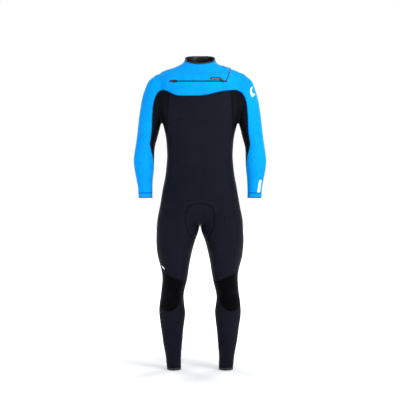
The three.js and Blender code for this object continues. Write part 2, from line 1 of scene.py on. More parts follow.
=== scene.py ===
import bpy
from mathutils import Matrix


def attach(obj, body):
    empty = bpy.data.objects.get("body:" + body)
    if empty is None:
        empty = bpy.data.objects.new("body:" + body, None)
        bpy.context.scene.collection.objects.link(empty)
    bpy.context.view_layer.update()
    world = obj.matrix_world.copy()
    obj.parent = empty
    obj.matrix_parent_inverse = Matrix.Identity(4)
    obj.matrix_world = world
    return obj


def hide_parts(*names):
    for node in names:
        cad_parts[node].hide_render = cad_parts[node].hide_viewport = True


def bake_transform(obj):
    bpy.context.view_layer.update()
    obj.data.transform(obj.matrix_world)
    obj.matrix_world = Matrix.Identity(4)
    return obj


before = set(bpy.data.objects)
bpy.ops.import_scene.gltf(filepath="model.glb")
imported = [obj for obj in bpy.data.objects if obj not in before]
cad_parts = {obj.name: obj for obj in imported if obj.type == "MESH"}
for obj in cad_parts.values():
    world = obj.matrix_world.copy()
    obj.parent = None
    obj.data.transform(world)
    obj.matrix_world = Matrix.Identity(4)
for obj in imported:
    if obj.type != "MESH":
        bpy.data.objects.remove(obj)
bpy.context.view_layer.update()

import copy
import math

import bpy
import numpy as np
from mathutils import Vector
from mathutils.kdtree import KDTree

random_folds = np.random.default_rng(11)

# ---------------------------------------------------------------- the studio
# A plain pale sweep, one large soft light from the wearer's left and a weaker one from the right.
# The camera stands level with the chest, some way off, and looks slightly down.

scene = bpy.context.scene
camera_height = 1.25
camera_distance = 7.0
view_width = 1.985
aim_height = 0.850
sensor_width = 36.0


def clear_selection():
    if bpy.context.object and bpy.context.object.mode != "OBJECT":
        bpy.ops.object.mode_set(mode="OBJECT")
    bpy.ops.object.select_all(action="DESELECT")


def make_active(piece):
    clear_selection()
    piece.select_set(True)
    bpy.context.view_layer.objects.active = piece
    return piece


def aim(item, target):
    item.rotation_mode = "QUATERNION"
    item.rotation_quaternion = (Vector(target) - item.location).to_track_quat("-Z", "Y")


clear_selection()
bpy.ops.object.camera_add(location=(0, -camera_distance, camera_height))
camera = bpy.context.object
camera.data.sensor_width = sensor_width
camera.data.lens = sensor_width * camera_distance / view_width
camera.data.clip_end = 50
aim(camera, (0, 0, aim_height))
scene.camera = camera


def soft_light(place, target, size, power, tint=(1, 1, 1)):
    clear_selection()
    bpy.ops.object.light_add(type="AREA", location=place)
    lamp = bpy.context.object
    lamp.data.shape = "RECTANGLE"
    lamp.data.size, lamp.data.size_y = size
    lamp.data.energy = power
    lamp.data.color = tint
    aim(lamp, target)


soft_light((2.8, -2.8, 2.4), (0, 0, 0.95), (1.6, 2.4), 92)
soft_light((-3.0, -2.6, 1.8), (0, 0, 0.9), (1.4, 2.4), 19, (0.93, 0.96, 1))
soft_light((0.4, -0.6, 4.2), (0, 0, 0.8), (2.4, 2.4), 46)
soft_light((1.8, 2.8, 2.4), (0, 0, 1.1), (1.4, 2.0), 46)
soft_light((-1.8, 2.8, 2.4), (0, 0, 1.1), (1.4, 2.0), 46)

world = bpy.data.worlds.new("studio_air")
world.use_nodes = True
air = world.node_tree
room = air.nodes["Background"]
room.inputs["Color"].default_value = (0.95, 0.97, 1, 1)
room.inputs["Strength"].default_value = 0.38
white_wall = air.nodes.new("ShaderNodeBackground")
white_wall.inputs["Color"].default_value = (1, 1, 1, 1)
seen = air.nodes.new("ShaderNodeLightPath")
either_air = air.nodes.new("ShaderNodeMixShader")
air.links.new(seen.outputs["Is Camera Ray"], either_air.inputs["Fac"])
air.links.new(room.outputs[0], either_air.inputs[1])
air.links.new(white_wall.outputs[0], either_air.inputs[2])
air.links.new(either_air.outputs[0], air.nodes["World Output"].inputs["Surface"])
scene.world = world
scene.view_settings.view_transform = "Standard"

clear_selection()
floor_half = 9.0
bpy.ops.mesh.primitive_plane_add(size=2 * floor_half, location=(0, 0, 0))
floor = bpy.context.object
floor.name = "studio_floor"
paper = bpy.data.materials.new("pale_paper")
paper.use_nodes = True
paper_shader = paper.node_tree.nodes["Principled BSDF"]
paper_shader.inputs["Base Color"].default_value = (0.86, 0.86, 0.86, 1)
paper_shader.inputs["Roughness"].default_value = 0.9
# Painted light: the paper glows, faintly near the suit and more and more with distance from its middle, so
# that the far floor reads as a white wall.
paper_place = paper.node_tree.nodes.new("ShaderNodeTexCoord")
paper_reach = paper.node_tree.nodes.new("ShaderNodeVectorMath")
paper_reach.operation = "LENGTH"
paper_glow = paper.node_tree.nodes.new("ShaderNodeMapRange")
for label, number in (("From Min", 0.3), ("From Max", 2.4), ("To Min", 0.16), ("To Max", 1.0)):
    paper_glow.inputs[label].default_value = number
paper.node_tree.links.new(paper_place.outputs["Object"], paper_reach.inputs[0])
paper.node_tree.links.new(paper_reach.outputs["Value"], paper_glow.inputs["Value"])
paper.node_tree.links.new(paper_glow.outputs["Result"], paper_shader.inputs["Emission Color"])
paper_shader.inputs["Emission Strength"].default_value = 1.0
floor.data.materials.append(paper)

# ---------------------------------------------------------------- the body form
# The suit is sewn to a body: a torso with a neck, two arms and two legs. Each is a sheet wrapped
# round its sections and closed, and one fine skin is then drawn over all five.

inseam = 0.722
torso_length = 0.868
sleeve_length = 0.602
neoprene = 0.0036
shoulder_z = inseam + 0.855 * torso_length
arm_x = 0.223


def on_torso(share):
    return inseam + share * torso_length


def on_arm(share):
    return shoulder_z - share * sleeve_length


def on_leg(share):
    return share * inseam


zip_z = on_torso(0.8226)
wrist_z = on_arm(1)

# Each row: height, middle x, middle y, half width, reach to the front, reach to the back, squareness.
torso_rows = [
    (on_torso(0.01), 0, 0.008, 0.061, 0.052, 0.060, 2.0),
    (on_torso(0.045), 0, 0.006, 0.170, 0.084, 0.090, 2.0),
    (on_torso(0.09), 0, 0.002, 0.1985, 0.104, 0.116, 2.2),
    (on_torso(0.138), 0, 0, 0.195, 0.108, 0.122, 2.4),
    (on_torso(0.22), 0, 0, 0.183, 0.105, 0.108, 2.4),
    (on_torso(0.303), 0, 0, 0.170, 0.102, 0.092, 2.4),
    (on_torso(0.4), 0, 0, 0.163, 0.104, 0.089, 2.4),
    (on_torso(0.507), 0, 0, 0.169, 0.112, 0.104, 2.4),
    (on_torso(0.59), 0, 0, 0.186, 0.121, 0.116, 2.4),
    (on_torso(0.68), 0, 0, 0.209, 0.126, 0.122, 2.4),
    (on_torso(0.76), 0, 0, 0.216, 0.124, 0.126, 2.4),
    (zip_z - 0.017, 0, 0, 0.212, 0.1175, 0.124, 2.15),
    (zip_z + 0.017, 0, 0, 0.210, 0.1175, 0.120, 2.15),
    (on_torso(0.866), 0, 0, 0.187, 0.104, 0.112, 2.1),
    (on_torso(0.888), 0, 0, 0.154, 0.090, 0.101, 2.0),
    (on_torso(0.908), 0, 0, 0.116, 0.079, 0.091, 2.0),
    (on_torso(0.924), 0, 0, 0.088, 0.071, 0.083, 2.0),
    (on_torso(0.944), 0, 0, 0.0755, 0.066, 0.079, 2.0),
    (on_torso(0.972), 0, 0, 0.0735, 0.063, 0.076, 2.0),
    (on_torso(1.02), 0, 0, 0.073, 0.062, 0.075, 2.0),
]
arm_rows = [
    (on_arm(-0.005), arm_x - 0.035, 0.004, 0.030, 0.030, 0.032, 2.0),
    (on_arm(0.036), arm_x - 0.027, 0.004, 0.057, 0.054, 0.056, 2.0),
    (on_arm(0.073), arm_x - 0.022, 0.004, 0.063, 0.060, 0.062, 2.0),
    (on_arm(0.136), arm_x - 0.012, 0.004, 0.065, 0.064, 0.066, 2.0),
    (on_arm(0.235), arm_x + 0.003, 0.005, 0.065, 0.062, 0.065, 2.0),
    (on_arm(0.336), arm_x + 0.017, 0.007, 0.062, 0.058, 0.061, 2.0),
    (on_arm(0.402), arm_x + 0.028, 0.008, 0.056, 0.054, 0.058, 2.0),
    (on_arm(0.502), arm_x + 0.039, 0.010, 0.052, 0.051, 0.054, 2.0),
    (on_arm(0.588), arm_x + 0.050, 0.011, 0.049, 0.049, 0.050, 2.0),
    (on_arm(0.69), arm_x + 0.0545, 0.008, 0.0505, 0.050, 0.048, 2.0),
    (on_arm(0.767), arm_x + 0.053, 0.003, 0.048, 0.047, 0.044, 2.0),
    (on_arm(0.834), arm_x + 0.052, -0.003, 0.0425, 0.041, 0.038, 2.0),
    (on_arm(0.92), arm_x + 0.0485, -0.011, 0.037, 0.032, 0.030, 2.0),
    (on_arm(1), arm_x + 0.047, -0.014, 0.035, 0.028, 0.027, 2.0),
    (on_arm(1.06), arm_x + 0.046, -0.016, 0.034, 0.027, 0.026, 2.0),
]
leg_rows = [
    (on_leg(-0.06), 0.128, 0.012, 0.0355, 0.043, 0.047, 2.0),
    (on_leg(0), 0.130, 0.012, 0.036, 0.044, 0.048, 2.0),
    (on_leg(0.083), 0.133, 0.013, 0.038, 0.045, 0.048, 2.0),
    (on_leg(0.169), 0.136, 0.013, 0.046, 0.048, 0.054, 2.0),
    (on_leg(0.28), 0.1385, 0.012, 0.0555, 0.053, 0.064, 2.0),
    (on_leg(0.391), 0.1395, 0.010, 0.0655, 0.058, 0.069, 2.0),
    (on_leg(0.457), 0.1405, 0.007, 0.062, 0.059, 0.066, 2.0),
    (on_leg(0.512), 0.139, 0.004, 0.058, 0.061, 0.061, 2.0),
    (on_leg(0.557), 0.1345, 0, 0.0585, 0.063, 0.058, 2.0),
    (on_leg(0.612), 0.1275, 0, 0.0615, 0.066, 0.059, 2.0),
    (on_leg(0.668), 0.1245, 0, 0.0655, 0.069, 0.065, 2.0),
    (on_leg(0.723), 0.1255, 0, 0.0725, 0.075, 0.073, 2.0),
    (on_leg(0.778), 0.1275, 0, 0.0815, 0.082, 0.081, 2.0),
    (on_leg(0.834), 0.126, 0, 0.089, 0.089, 0.089, 2.0),
    (on_leg(0.9), 0.1210, 0.002, 0.0970, 0.095, 0.097, 2.0),
    (on_leg(0.97), 0.1110, 0.004, 0.1050, 0.099, 0.105, 2.0),
    (on_leg(1.053), 0.1065, 0.006, 0.1050, 0.100, 0.110, 2.0),
    (on_leg(1.163), 0.100, 0.006, 0.0945, 0.090, 0.100, 2.0),
]


def smooth_rows(rows, per_gap):
    """Rows drawn through the given ones on a smooth curve."""
    given = np.array(rows, float)
    padded = np.vstack([2 * given[0] - given[1], given, 2 * given[-1] - given[-2]])
    made = []
    for i in range(1, len(padded) - 2):
        a, b, c, d = padded[i - 1:i + 3]
        for t in np.arange(per_gap) / per_gap:
            made.append(0.5 * (2 * b + (c - a) * t + (2 * a - 5 * b + 4 * c - d) * t ** 2
                               + (3 * b - a - 3 * c + d) * t ** 3))
    made.append(given[-1])
    return np.array(made)


def wrapped_limb(name, rows, around, side=1):
    """A flat grid rolled round the sections of one limb, closed along its edge and at both ends."""
    fine = smooth_rows(rows, 4)
    clear_selection()
    bpy.ops.mesh.primitive_grid_add(x_subdivisions=around, y_subdivisions=len(fine) - 1, size=1)
    limb = bpy.context.object
    limb.name = name
    flat = np.zeros(len(limb.data.vertices) * 3)
    limb.data.vertices.foreach_get("co", flat)
    flat = flat.reshape(-1, 3)
    turn = (flat[:, 0] + 0.5) * 2 * math.pi
    row = np.rint((flat[:, 1] + 0.5) * (len(fine) - 1)).astype(int)
    z, x, y, half, front, back, square = fine[row].T
    across = np.sign(np.cos(turn)) * np.abs(np.cos(turn)) ** (2 / square)
    deep = np.sign(np.sin(turn)) * np.abs(np.sin(turn)) ** (2 / square)
    placed = np.stack([
        side * (x + across * half),
        y + deep * np.where(deep < 0, front, back),
        z,
    ], axis=1)
    limb.data.vertices.foreach_set("co", placed.ravel())
    make_active(limb)
    bpy.ops.object.mode_set(mode="EDIT")
    bpy.ops.mesh.select_all(action="SELECT")
    bpy.ops.mesh.remove_doubles(threshold=1e-5)
    bpy.ops.mesh.select_non_manifold()
    bpy.ops.mesh.fill_holes(sides=0)
    bpy.ops.mesh.select_all(action="SELECT")
    bpy.ops.mesh.normals_make_consistent(inside=False)
    bpy.ops.object.mode_set(mode="OBJECT")
    return limb


def apply_modifier(piece, kind, **settings):
    make_active(piece)
    modifier = piece.modifiers.new(kind.lower(), kind)
    for key, value in settings.items():
        setattr(modifier, key, value)
    bpy.ops.object.modifier_apply(modifier=modifier.name)


limbs = [wrapped_limb("torso_form", torso_rows, 72)]
for side in (1, -1):
    limbs.append(wrapped_limb("arm_form", arm_rows, 40, side))
    limbs.append(wrapped_limb("leg_form", leg_rows, 48, side))
clear_selection()
for limb in limbs:
    limb.select_set(True)
form = limbs[0]
bpy.context.view_layer.objects.active = form
bpy.ops.object.join()
form.name = "body_form"
voxel = 0.0042
apply_modifier(form, "REMESH", mode="VOXEL", voxel_size=voxel)
apply_modifier(form, "SMOOTH", factor=0.5, iterations=14)


def points_of(mesh):
    flat = np.zeros(len(mesh.vertices) * 3)
    mesh.vertices.foreach_get("co", flat)
    return flat.reshape(-1, 3)


def normals_of(mesh):
    flat = np.zeros(len(mesh.vertices) * 3)
    mesh.vertex_normals.foreach_get("vector", flat)
    return flat.reshape(-1, 3)


def swell(points, centre, reach, height):
    """How far each point rises over a soft mound; a negative height is a hollow."""
    offset = (points - np.array(centre)) / np.array(reach)
    return height * np.exp(-(offset ** 2).sum(axis=1))


# Muscles and hollows of the left half, mirrored to the right: middle, reach, height.
muscles = [
    ((0.088, -0.118, 1.335), (0.075, 0.05, 0.055), 0.0060),
    ((0.090, -0.120, 1.262), (0.070, 0.05, 0.020), -0.0030),
    ((0.0, -0.126, 1.320), (0.016, 0.04, 0.070), -0.0022),
    ((0.0, -0.105, 1.120), (0.014, 0.04, 0.120), -0.0014),
    ((0.055, -0.105, 1.150), (0.040, 0.04, 0.100), 0.0016),
    ((0.140, -0.075, 1.180), (0.040, 0.05, 0.070), 0.0025),
    ((0.285, -0.010, 1.350), (0.045, 0.06, 0.065), 0.0030),
    ((0.172, 0.010, 1.482), (0.038, 0.07, 0.030), 0.0070),
    ((0.165, 0.070, 1.250), (0.040, 0.05, 0.090), 0.0050),
    ((0.090, 0.118, 1.345), (0.055, 0.04, 0.075), 0.0060),
    ((0.0, 0.112, 1.220), (0.016, 0.05, 0.230), -0.0032),
    ((0.050, 0.095, 1.080), (0.028, 0.04, 0.130), 0.0035),
    ((0.090, 0.110, 0.800), (0.070, 0.05, 0.070), 0.0110),
    ((0.095, 0.105, 0.708), (0.065, 0.04, 0.018), -0.0060),
    ((0.0, 0.120, 0.790), (0.016, 0.06, 0.080), -0.0110),
    ((0.168, -0.060, 0.600), (0.040, 0.04, 0.100), 0.0030),
    ((0.105, -0.080, 0.600), (0.040, 0.04, 0.110), 0.0020),
    ((0.088, -0.045, 0.470), (0.024, 0.03, 0.035), 0.0035),
    ((0.168, -0.045, 0.490), (0.022, 0.03, 0.035), 0.0025),
    ((0.136, -0.064, 0.402), (0.028, 0.03, 0.032), 0.0055),
    ((0.138, -0.062, 0.352), (0.020, 0.03, 0.014), -0.0015),
    ((0.105, 0.062, 0.300), (0.034, 0.03, 0.065), 0.0050),
    ((0.172, 0.058, 0.318), (0.030, 0.03, 0.055), 0.0035),
    ((0.138, 0.082, 0.270), (0.010, 0.03, 0.060), -0.0020),
    ((0.136, 0.062, 0.395), (0.030, 0.03, 0.030), -0.0030),
    ((0.232, -0.046, 1.240), (0.032, 0.03, 0.060), 0.0035),
    ((0.262, 0.062, 1.250), (0.034, 0.03, 0.070), 0.0035),
    ((0.278, 0.056, 1.070), (0.022, 0.03, 0.026), 0.0045),
    ((0.270, -0.044, 1.085), (0.030, 0.03, 0.014), -0.0025),
    ((0.322, -0.005, 1.030), (0.020, 0.04, 0.050), 0.0020),
]

# The wearer's left shoulder is a little fuller than the right.
shoulder_caps = [
    ((0.200, 0.005, 1.466), (0.026, 0.07, 0.026), 0.0085),
    ((-0.192, 0.005, 1.474), (0.022, 0.07, 0.020), 0.0040),
]

# Folds in the fabric where the body bends: two ends, half width, height.
folds = [
    ((0.150, -0.100, 1.385), (0.163, -0.095, 1.235), 0.0075, 0.0040),
    ((0.172, -0.085, 1.375), (0.182, -0.075, 1.255), 0.0070, 0.0034),
    ((0.135, -0.112, 1.300), (0.172, -0.090, 1.225), 0.0080, 0.0024),
    ((0.205, -0.062, 1.360), (0.196, -0.055, 1.250), 0.0065, 0.0030),
    ((0.225, -0.052, 1.150), (0.300, -0.030, 1.128), 0.0060, 0.0018),
    ((0.226, -0.050, 1.112), (0.318, -0.020, 1.098), 0.0060, 0.0026),
    ((0.228, -0.045, 1.078), (0.322, -0.018, 1.080), 0.0055, 0.0028),
    ((0.232, -0.044, 1.050), (0.318, -0.030, 1.062), 0.0060, 0.0020),
    ((0.232, 0.040, 1.110), (0.312, 0.040, 1.122), 0.0070, 0.0016),
    ((0.070, -0.075, 0.765), (0.150, -0.100, 0.820), 0.0095, 0.0026),
    ((0.060, -0.070, 0.730), (0.160, -0.098, 0.775), 0.0090, 0.0022),
    ((0.080, -0.065, 0.690), (0.170, -0.092, 0.715), 0.0100, 0.0016),
    ((0.072, 0.058, 0.432), (0.180, 0.055, 0.420), 0.0070, 0.0026),
    ((0.076, 0.058, 0.402), (0.186, 0.050, 0.398), 0.0065, 0.0030),
    ((0.082, 0.060, 0.370), (0.190, 0.052, 0.372), 0.0070, 0.0024),
    ((0.088, -0.055, 0.455), (0.150, -0.068, 0.448), 0.0065, 0.0014),
    ((0.096, -0.052, 0.345), (0.165, -0.058, 0.338), 0.0065, 0.0016),
    ((0.040, 0.095, 1.045), (0.150, 0.070, 1.062), 0.0100, 0.0024),
    ((0.030, 0.092, 1.005), (0.155, 0.070, 1.018), 0.0100, 0.0026),
    ((0.035, 0.098, 0.965), (0.150, 0.078, 0.970), 0.0100, 0.0018),
    ((0.030, 0.112, 1.400), (0.120, 0.112, 1.380), 0.0100, 0.0018),
    ((0.110, -0.040, 0.060), (0.165, -0.010, 0.052), 0.0055, 0.0013),
    ((0.105, -0.035, 0.092), (0.168, -0.008, 0.098), 0.0060, 0.0011),
    ((0.245, -0.040, 0.915), (0.300, -0.030, 0.922), 0.0060, 0.0013),
]


def along_fold(points, start, end, half_width, height):
    """A raised fold that fades out towards its two ends."""
    a, b = np.array(start), np.array(end)
    run = b - a
    share = np.clip(((points - a) @ run) / (run @ run), 0, 1)
    away = np.linalg.norm(points - (a + share[:, None] * run), axis=1) / half_width
    fade = np.sin(np.pi * np.clip(share, 0.02, 0.98)) ** 0.7
    return height * fade * (1 - 0.55 * away ** 2) * np.exp(-0.5 * away ** 2)


body_points = points_of(form.data)
body_normals = normals_of(form.data)
rise = np.zeros(len(body_points))
for centre, reach, height in muscles:
    rise += swell(body_points, centre, reach, height)
    if centre[0]:
        rise += swell(body_points, (-centre[0], *centre[1:]), reach, height)
for start, end, half_width, height in folds:
    rise += along_fold(body_points, start, end, half_width, height)
    drift = random_folds.uniform(-0.006, 0.006, 6)
    far_start = np.array([-start[0], *start[1:]]) + drift[:3]
    far_end = np.array([-end[0], *end[1:]]) + drift[3:]
    rise += along_fold(body_points, far_start, far_end, half_width, 0.9 * height)
for centre, reach, height in shoulder_caps:
    rise += swell(body_points, centre, reach, height)
wave_count, wave_height = 6, 0.00022
for wave in range(wave_count):
    direction = random_folds.normal(size=3)
    direction *= random_folds.uniform(40, 90) / np.linalg.norm(direction)
    rise += wave_height * np.sin(body_points @ direction + random_folds.uniform(0, 6.28))
body_points = body_points + body_normals * rise[:, None]

# The fabric beside the zip climbs onto its tapes.
zip_radius = 0.38304
zip_middle_y = 0.26284
lip_rise = 0.00175


def ramp(value, low, high):
    """0 at low, 1 at high, with a soft start and end."""
    share = np.clip((value - low) / (high - low), 0, 1)
    return share * share * (3 - 2 * share)


x, y, z = body_points.T
on_zip = ramp(np.abs(z - zip_z), 0.048, 0.0155) * ramp(x, -0.185, -0.155) * ramp(x, 0.172, 0.136)
on_zip *= y < 0
arc_y = zip_middle_y - np.sqrt((zip_radius + lip_rise) ** 2 - np.clip(x, -0.2, 0.2) ** 2)
body_points[:, 1] = y + on_zip * (arc_y - y)
form.data.vertices.foreach_set("co", body_points.ravel())
form.data.update()

# ---------------------------------------------------------------- the cutting table
# The skin is cut into panels along seam lines, as neoprene is cut from a sheet. Each panel then
# gets its own thickness, edges that dip into the seam, and the grain of its knitted face.


def triangles_of(mesh):
    mesh.calc_loop_triangles()
    flat = np.zeros(len(mesh.loop_triangles) * 3, np.int64)
    mesh.loop_triangles.foreach_get("vertices", flat)
    return flat.reshape(-1, 3)


class Skin:
    """The whole surface as arrays: points, outward directions, triangles and the panel of each."""

    def __init__(self, mesh):
        self.points = points_of(mesh)
        self.outward = normals_of(mesh)
        self.triangles = triangles_of(mesh)
        self.panel = np.full(len(self.triangles), "uncut", object)
        self.locked = np.zeros(len(self.points), bool)
        self.sink = np.zeros(len(self.points))


snap_share = 0.18


def split_where(skin, value, level, chosen):
    """Splits the chosen triangles along the line where value equals level."""
    value = value - level
    edge = np.stack([skin.triangles, np.roll(skin.triangles, -1, 1)], axis=2)[chosen].reshape(-1, 2)
    ends = value[edge]
    crossed = edge[ends[:, 0] * ends[:, 1] < 0]
    share = value[crossed[:, 0]] / (value[crossed[:, 0]] - value[crossed[:, 1]])
    for near, far, part in ((0, 1, share), (1, 0, 1 - share)):
        close = (part < snap_share) & ~skin.locked[crossed[:, near]]
        vertex, other = crossed[close, near], crossed[close, far]
        move = skin.points[other] - skin.points[vertex]
        skin.points[vertex] += part[close, None] * move
        value[vertex] = 0
    corner = value[skin.triangles]
    following = np.roll(corner, -1, 1)
    crossing = (corner * following < 0) & chosen[:, None]
    count = crossing.sum(axis=1)
    pairs = np.stack([skin.triangles, np.roll(skin.triangles, -1, 1)], axis=2)[crossing]
    pairs.sort(axis=1)
    unique, index = np.unique(pairs, axis=0, return_inverse=True)
    index = index.ravel()
    first, second = value[unique[:, 0]], value[unique[:, 1]]
    mix = (first / (first - second))[:, None]
    base = len(skin.points)
    made = np.full(skin.triangles.shape, -1)
    made[crossing] = base + index
    for name in ("points", "outward"):
        whole = getattr(skin, name)
        fresh = whole[unique[:, 0]] * (1 - mix) + whole[unique[:, 1]] * mix
        setattr(skin, name, np.vstack([whole, fresh]))
    skin.locked = np.append(skin.locked, np.zeros(len(unique), bool))
    skin.sink = np.append(skin.sink, np.zeros(len(unique)))
    value = np.append(value, np.zeros(len(unique)))

    kept = [skin.triangles[count == 0]]
    names = [skin.panel[count == 0]]
    for i in range(3):
        j, k = (i + 1) % 3, (i + 2) % 3
        lone = (count == 2) & crossing[:, i] & crossing[:, k]
        a, b, c = skin.triangles[lone][:, [i, j, k]].T
        ab, ca = made[lone, i], made[lone, k]
        kept += [np.stack(x, 1) for x in ((a, ab, ca), (ab, b, c), (ab, c, ca))]
        halved = (count == 1) & crossing[:, i]
        d, e, f = skin.triangles[halved][:, [i, j, k]].T
        de = made[halved, i]
        kept += [np.stack(x, 1) for x in ((d, de, f), (de, e, f))]
        names += [skin.panel[lone]] * 3 + [skin.panel[halved]] * 2
    skin.triangles = np.vstack(kept)
    skin.panel = np.concatenate(names)
    return value + level


def panel_edges(triangles):
    """The edges on the outside of a set of triangles, each running the way its triangle does."""
    edge = np.stack([triangles, np.roll(triangles, -1, 1)], axis=2).reshape(-1, 2)
    low = np.sort(edge, axis=1)
    _, index, count = np.unique(low, axis=0, return_inverse=True, return_counts=True)
    return edge[count[index.ravel()] == 1]


edge_strip = 0.0018
plain_sink = 0.0008
quiet_sink = 0.0003
seam_runs = []


def shared_edges(skin, one, other):
    """The edges where triangles of one panel meet triangles of another."""
    first = panel_edges(skin.triangles[skin.panel == one])
    second = panel_edges(skin.triangles[skin.panel == other])
    count = len(skin.points)
    key = [np.sort(e, axis=1) @ np.array([count, 1]) for e in (first, second)]
    return first[np.isin(key[0], key[1])]


def cut_panel(skin, name, *fields, sink=plain_sink, stitched=True, source="uncut"):
    """Cuts one panel out of what is left of the skin, where all the given fields are negative."""
    inside, from_panel = "being cut", source
    for field in fields:
        value = split_where(skin, field(skin.points), 0, skin.panel == from_panel)
        middle = value[skin.triangles].mean(axis=1)
        candidates = skin.panel == from_panel
        skin.panel[candidates & (middle < 0)] = inside
        skin.panel[candidates & (middle >= 0)] = source
        from_panel = inside
    edges = shared_edges(skin, inside, source)
    on_seam = np.zeros(len(skin.points), bool)
    on_seam[edges.ravel()] = True
    skin.sink[on_seam & ~skin.locked] = sink
    skin.locked |= on_seam
    if stitched:
        seam_runs.append((name, skin.points[edges], skin.outward[edges]))
    for field in fields if sink else ():
        split_where(skin, field(skin.points), -edge_strip, skin.panel == inside)
        split_where(skin, field(skin.points), edge_strip, skin.panel == source)
    skin.panel[skin.panel == inside] = name


def outline_field(corners, across=0, up=2):
    """Distance to a closed outline drawn in one view, negative inside it."""
    shape = np.array(corners, float)

    def field(points):
        flat = points[:, [across, up]]
        best = np.full(len(flat), np.inf)
        inside = np.zeros(len(flat), bool)
        for a, b in zip(shape, np.roll(shape, -1, 0)):
            run = b - a
            share = np.clip(((flat - a) @ run) / (run @ run), 0, 1)
            best = np.minimum(best, np.linalg.norm(flat - a - share[:, None] * run, axis=1))
            if a[1] != b[1]:
                passes = (flat[:, 1] > min(a[1], b[1])) & (flat[:, 1] <= max(a[1], b[1]))
                at = a[0] + (flat[:, 1] - a[1]) * run[0] / run[1]
                inside ^= passes & (flat[:, 0] < at)
        return np.where(inside, -best, best)

    return field


def both(*fields):
    return lambda points: np.max([f(points) for f in fields], axis=0)


def either(*fields):
    return lambda points: np.min([f(points) for f in fields], axis=0)


def beyond(axis, limit, way=1):
    """Negative where the coordinate on an axis is past a limit, in the way given."""
    return lambda points: way * (limit - points[:, axis])


def curved(corners, per_gap=5):
    """The given corners joined by a smooth curve, ends included."""
    return [tuple(p) for p in smooth_rows(corners, per_gap)]


def on_side(side, corners):
    return [(side * x, z) for x, z in corners]


skin = Skin(form.data)
whole_skin = Skin(form.data)
far_out = 0.6
sides = {"left": 1, "right": -1}

# The rim of the collar drops from the nape to the throat, more and more steeply.
throat_y, nape_y = -0.063, 0.076
collar_front, collar_back = 1.5300, on_torso(0.972)


def below_rim(drop):
    """Negative above the line that runs this far below the collar's rim."""
    def field(points):
        share = np.clip((nape_y - points[:, 1]) / (nape_y - throat_y), 0, 1.6)
        return collar_back - (collar_back - collar_front) * share ** 1.5 - drop - points[:, 2]
    return field


on_arms = either(beyond(0, 0.222), beyond(0, -0.222, -1))
cut_panel(skin, "offcut", below_rim(0), sink=0, stitched=False)
cut_panel(skin, "offcut", on_arms, beyond(2, wrist_z, -1), beyond(2, 0.75), sink=0, stitched=False)
cut_panel(skin, "offcut", beyond(2, 0.0, -1), sink=0, stitched=False)

# ---------------------------------------------------------------- seam lines
# The lines follow the body: over the breastbone and armpits, down the inner arms, over the crotch
# and round the knees. The wearer's left side is drawn and then mirrored.

binding_height = 0.005
collar_height = 0.038
cuff_height = 0.025
hem_height = 0.012
shoulder_y = 0.012
side_y = 0.004
knee_z = on_leg(0.547)
zip_left, zip_right = -0.151, 0.132
zip_lip = 0.0028

cut_panel(skin, "collar_edge", below_rim(binding_height))
cut_panel(skin, "collar", below_rim(collar_height), sink=quiet_sink)
for name, side in sides.items():
    at_side = beyond(0, 0, side)
    cut_panel(skin, f"{name}_cuff", beyond(2, wrist_z + cuff_height, -1), beyond(2, 0.75), on_arms, at_side)
    cut_panel(skin, f"{name}_ankle_hem", beyond(2, hem_height, -1), at_side)

gusset_front = [
    (-0.020, 0.630), (-0.046, 0.676), (-0.066, 0.722), (-0.0715, 0.762), (-0.067, 0.802),
    (-0.045, 0.829), (0, 0.838), (0.045, 0.829), (0.067, 0.802), (0.0715, 0.762),
    (0.066, 0.722), (0.046, 0.676), (0.020, 0.630),
]
gusset_back = [(0.8 * x, z if z < 0.7 else 0.7 + 0.66 * (z - 0.7)) for x, z in gusset_front]
cut_panel(skin, "seat_gusset", either(
    both(outline_field(curved(gusset_front)), beyond(1, side_y, -1)),
    both(outline_field(curved(gusset_back)), beyond(1, side_y)),
))

knee_patch_top = [(0, 0.433), (0.072, 0.447), (0.130, 0.4685), (0.190, 0.497), (0.280, 0.545)]
knee_patch_low = [
    (0.280, 0.312), (0.220, 0.318), (0.195, 0.319), (0.178, 0.3065), (0.155, 0.300), (0.130, 0.3085),
    (0.110, 0.330), (0.096, 0.361), (0.080, 0.390), (0, 0.404),
]
knee_pit = [
    (0, 0.455), (0.080, 0.470), (0.136, 0.494), (0.190, 0.488), (0.280, 0.480),
    (0.280, 0.318), (0.190, 0.312), (0.136, 0.296), (0.080, 0.318), (0, 0.330),
]
for name, side in sides.items():
    at_side = beyond(0, 0, side)
    in_front, behind = beyond(1, side_y, -1), beyond(1, side_y)
    patch = outline_field(on_side(side, curved(knee_patch_top) + curved(knee_patch_low)))
    pit = outline_field(on_side(side, knee_pit))
    cut_panel(skin, f"{name}_knee_pad", patch, in_front, at_side)
    cut_panel(skin, f"{name}_knee_pit", pit, behind, at_side)
    cut_panel(skin, f"{name}_shin", beyond(2, knee_z, -1), in_front, at_side)
    cut_panel(skin, f"{name}_calf", beyond(2, knee_z, -1), behind, at_side)
    hip_front = curved([(0, 0.816), (0.060, 0.822), (0.130, 0.839), (0.185, 0.862), (0.226, 0.882)])
    hip_back = curved([(0, 0.952), (0.070, 0.940), (0.140, 0.918), (0.185, 0.893), (0.226, 0.882)])
    thigh_low = [(0.260, 0.84), (0.260, knee_z - 0.05), (0, knee_z - 0.05)]
    front_outline = outline_field(on_side(side, hip_front + thigh_low))
    cut_panel(skin, f"{name}_thigh", front_outline, in_front, sink=quiet_sink)
    back_outline = outline_field(on_side(side, hip_back + thigh_low))
    cut_panel(skin, f"{name}_hamstring", back_outline, behind, sink=quiet_sink)

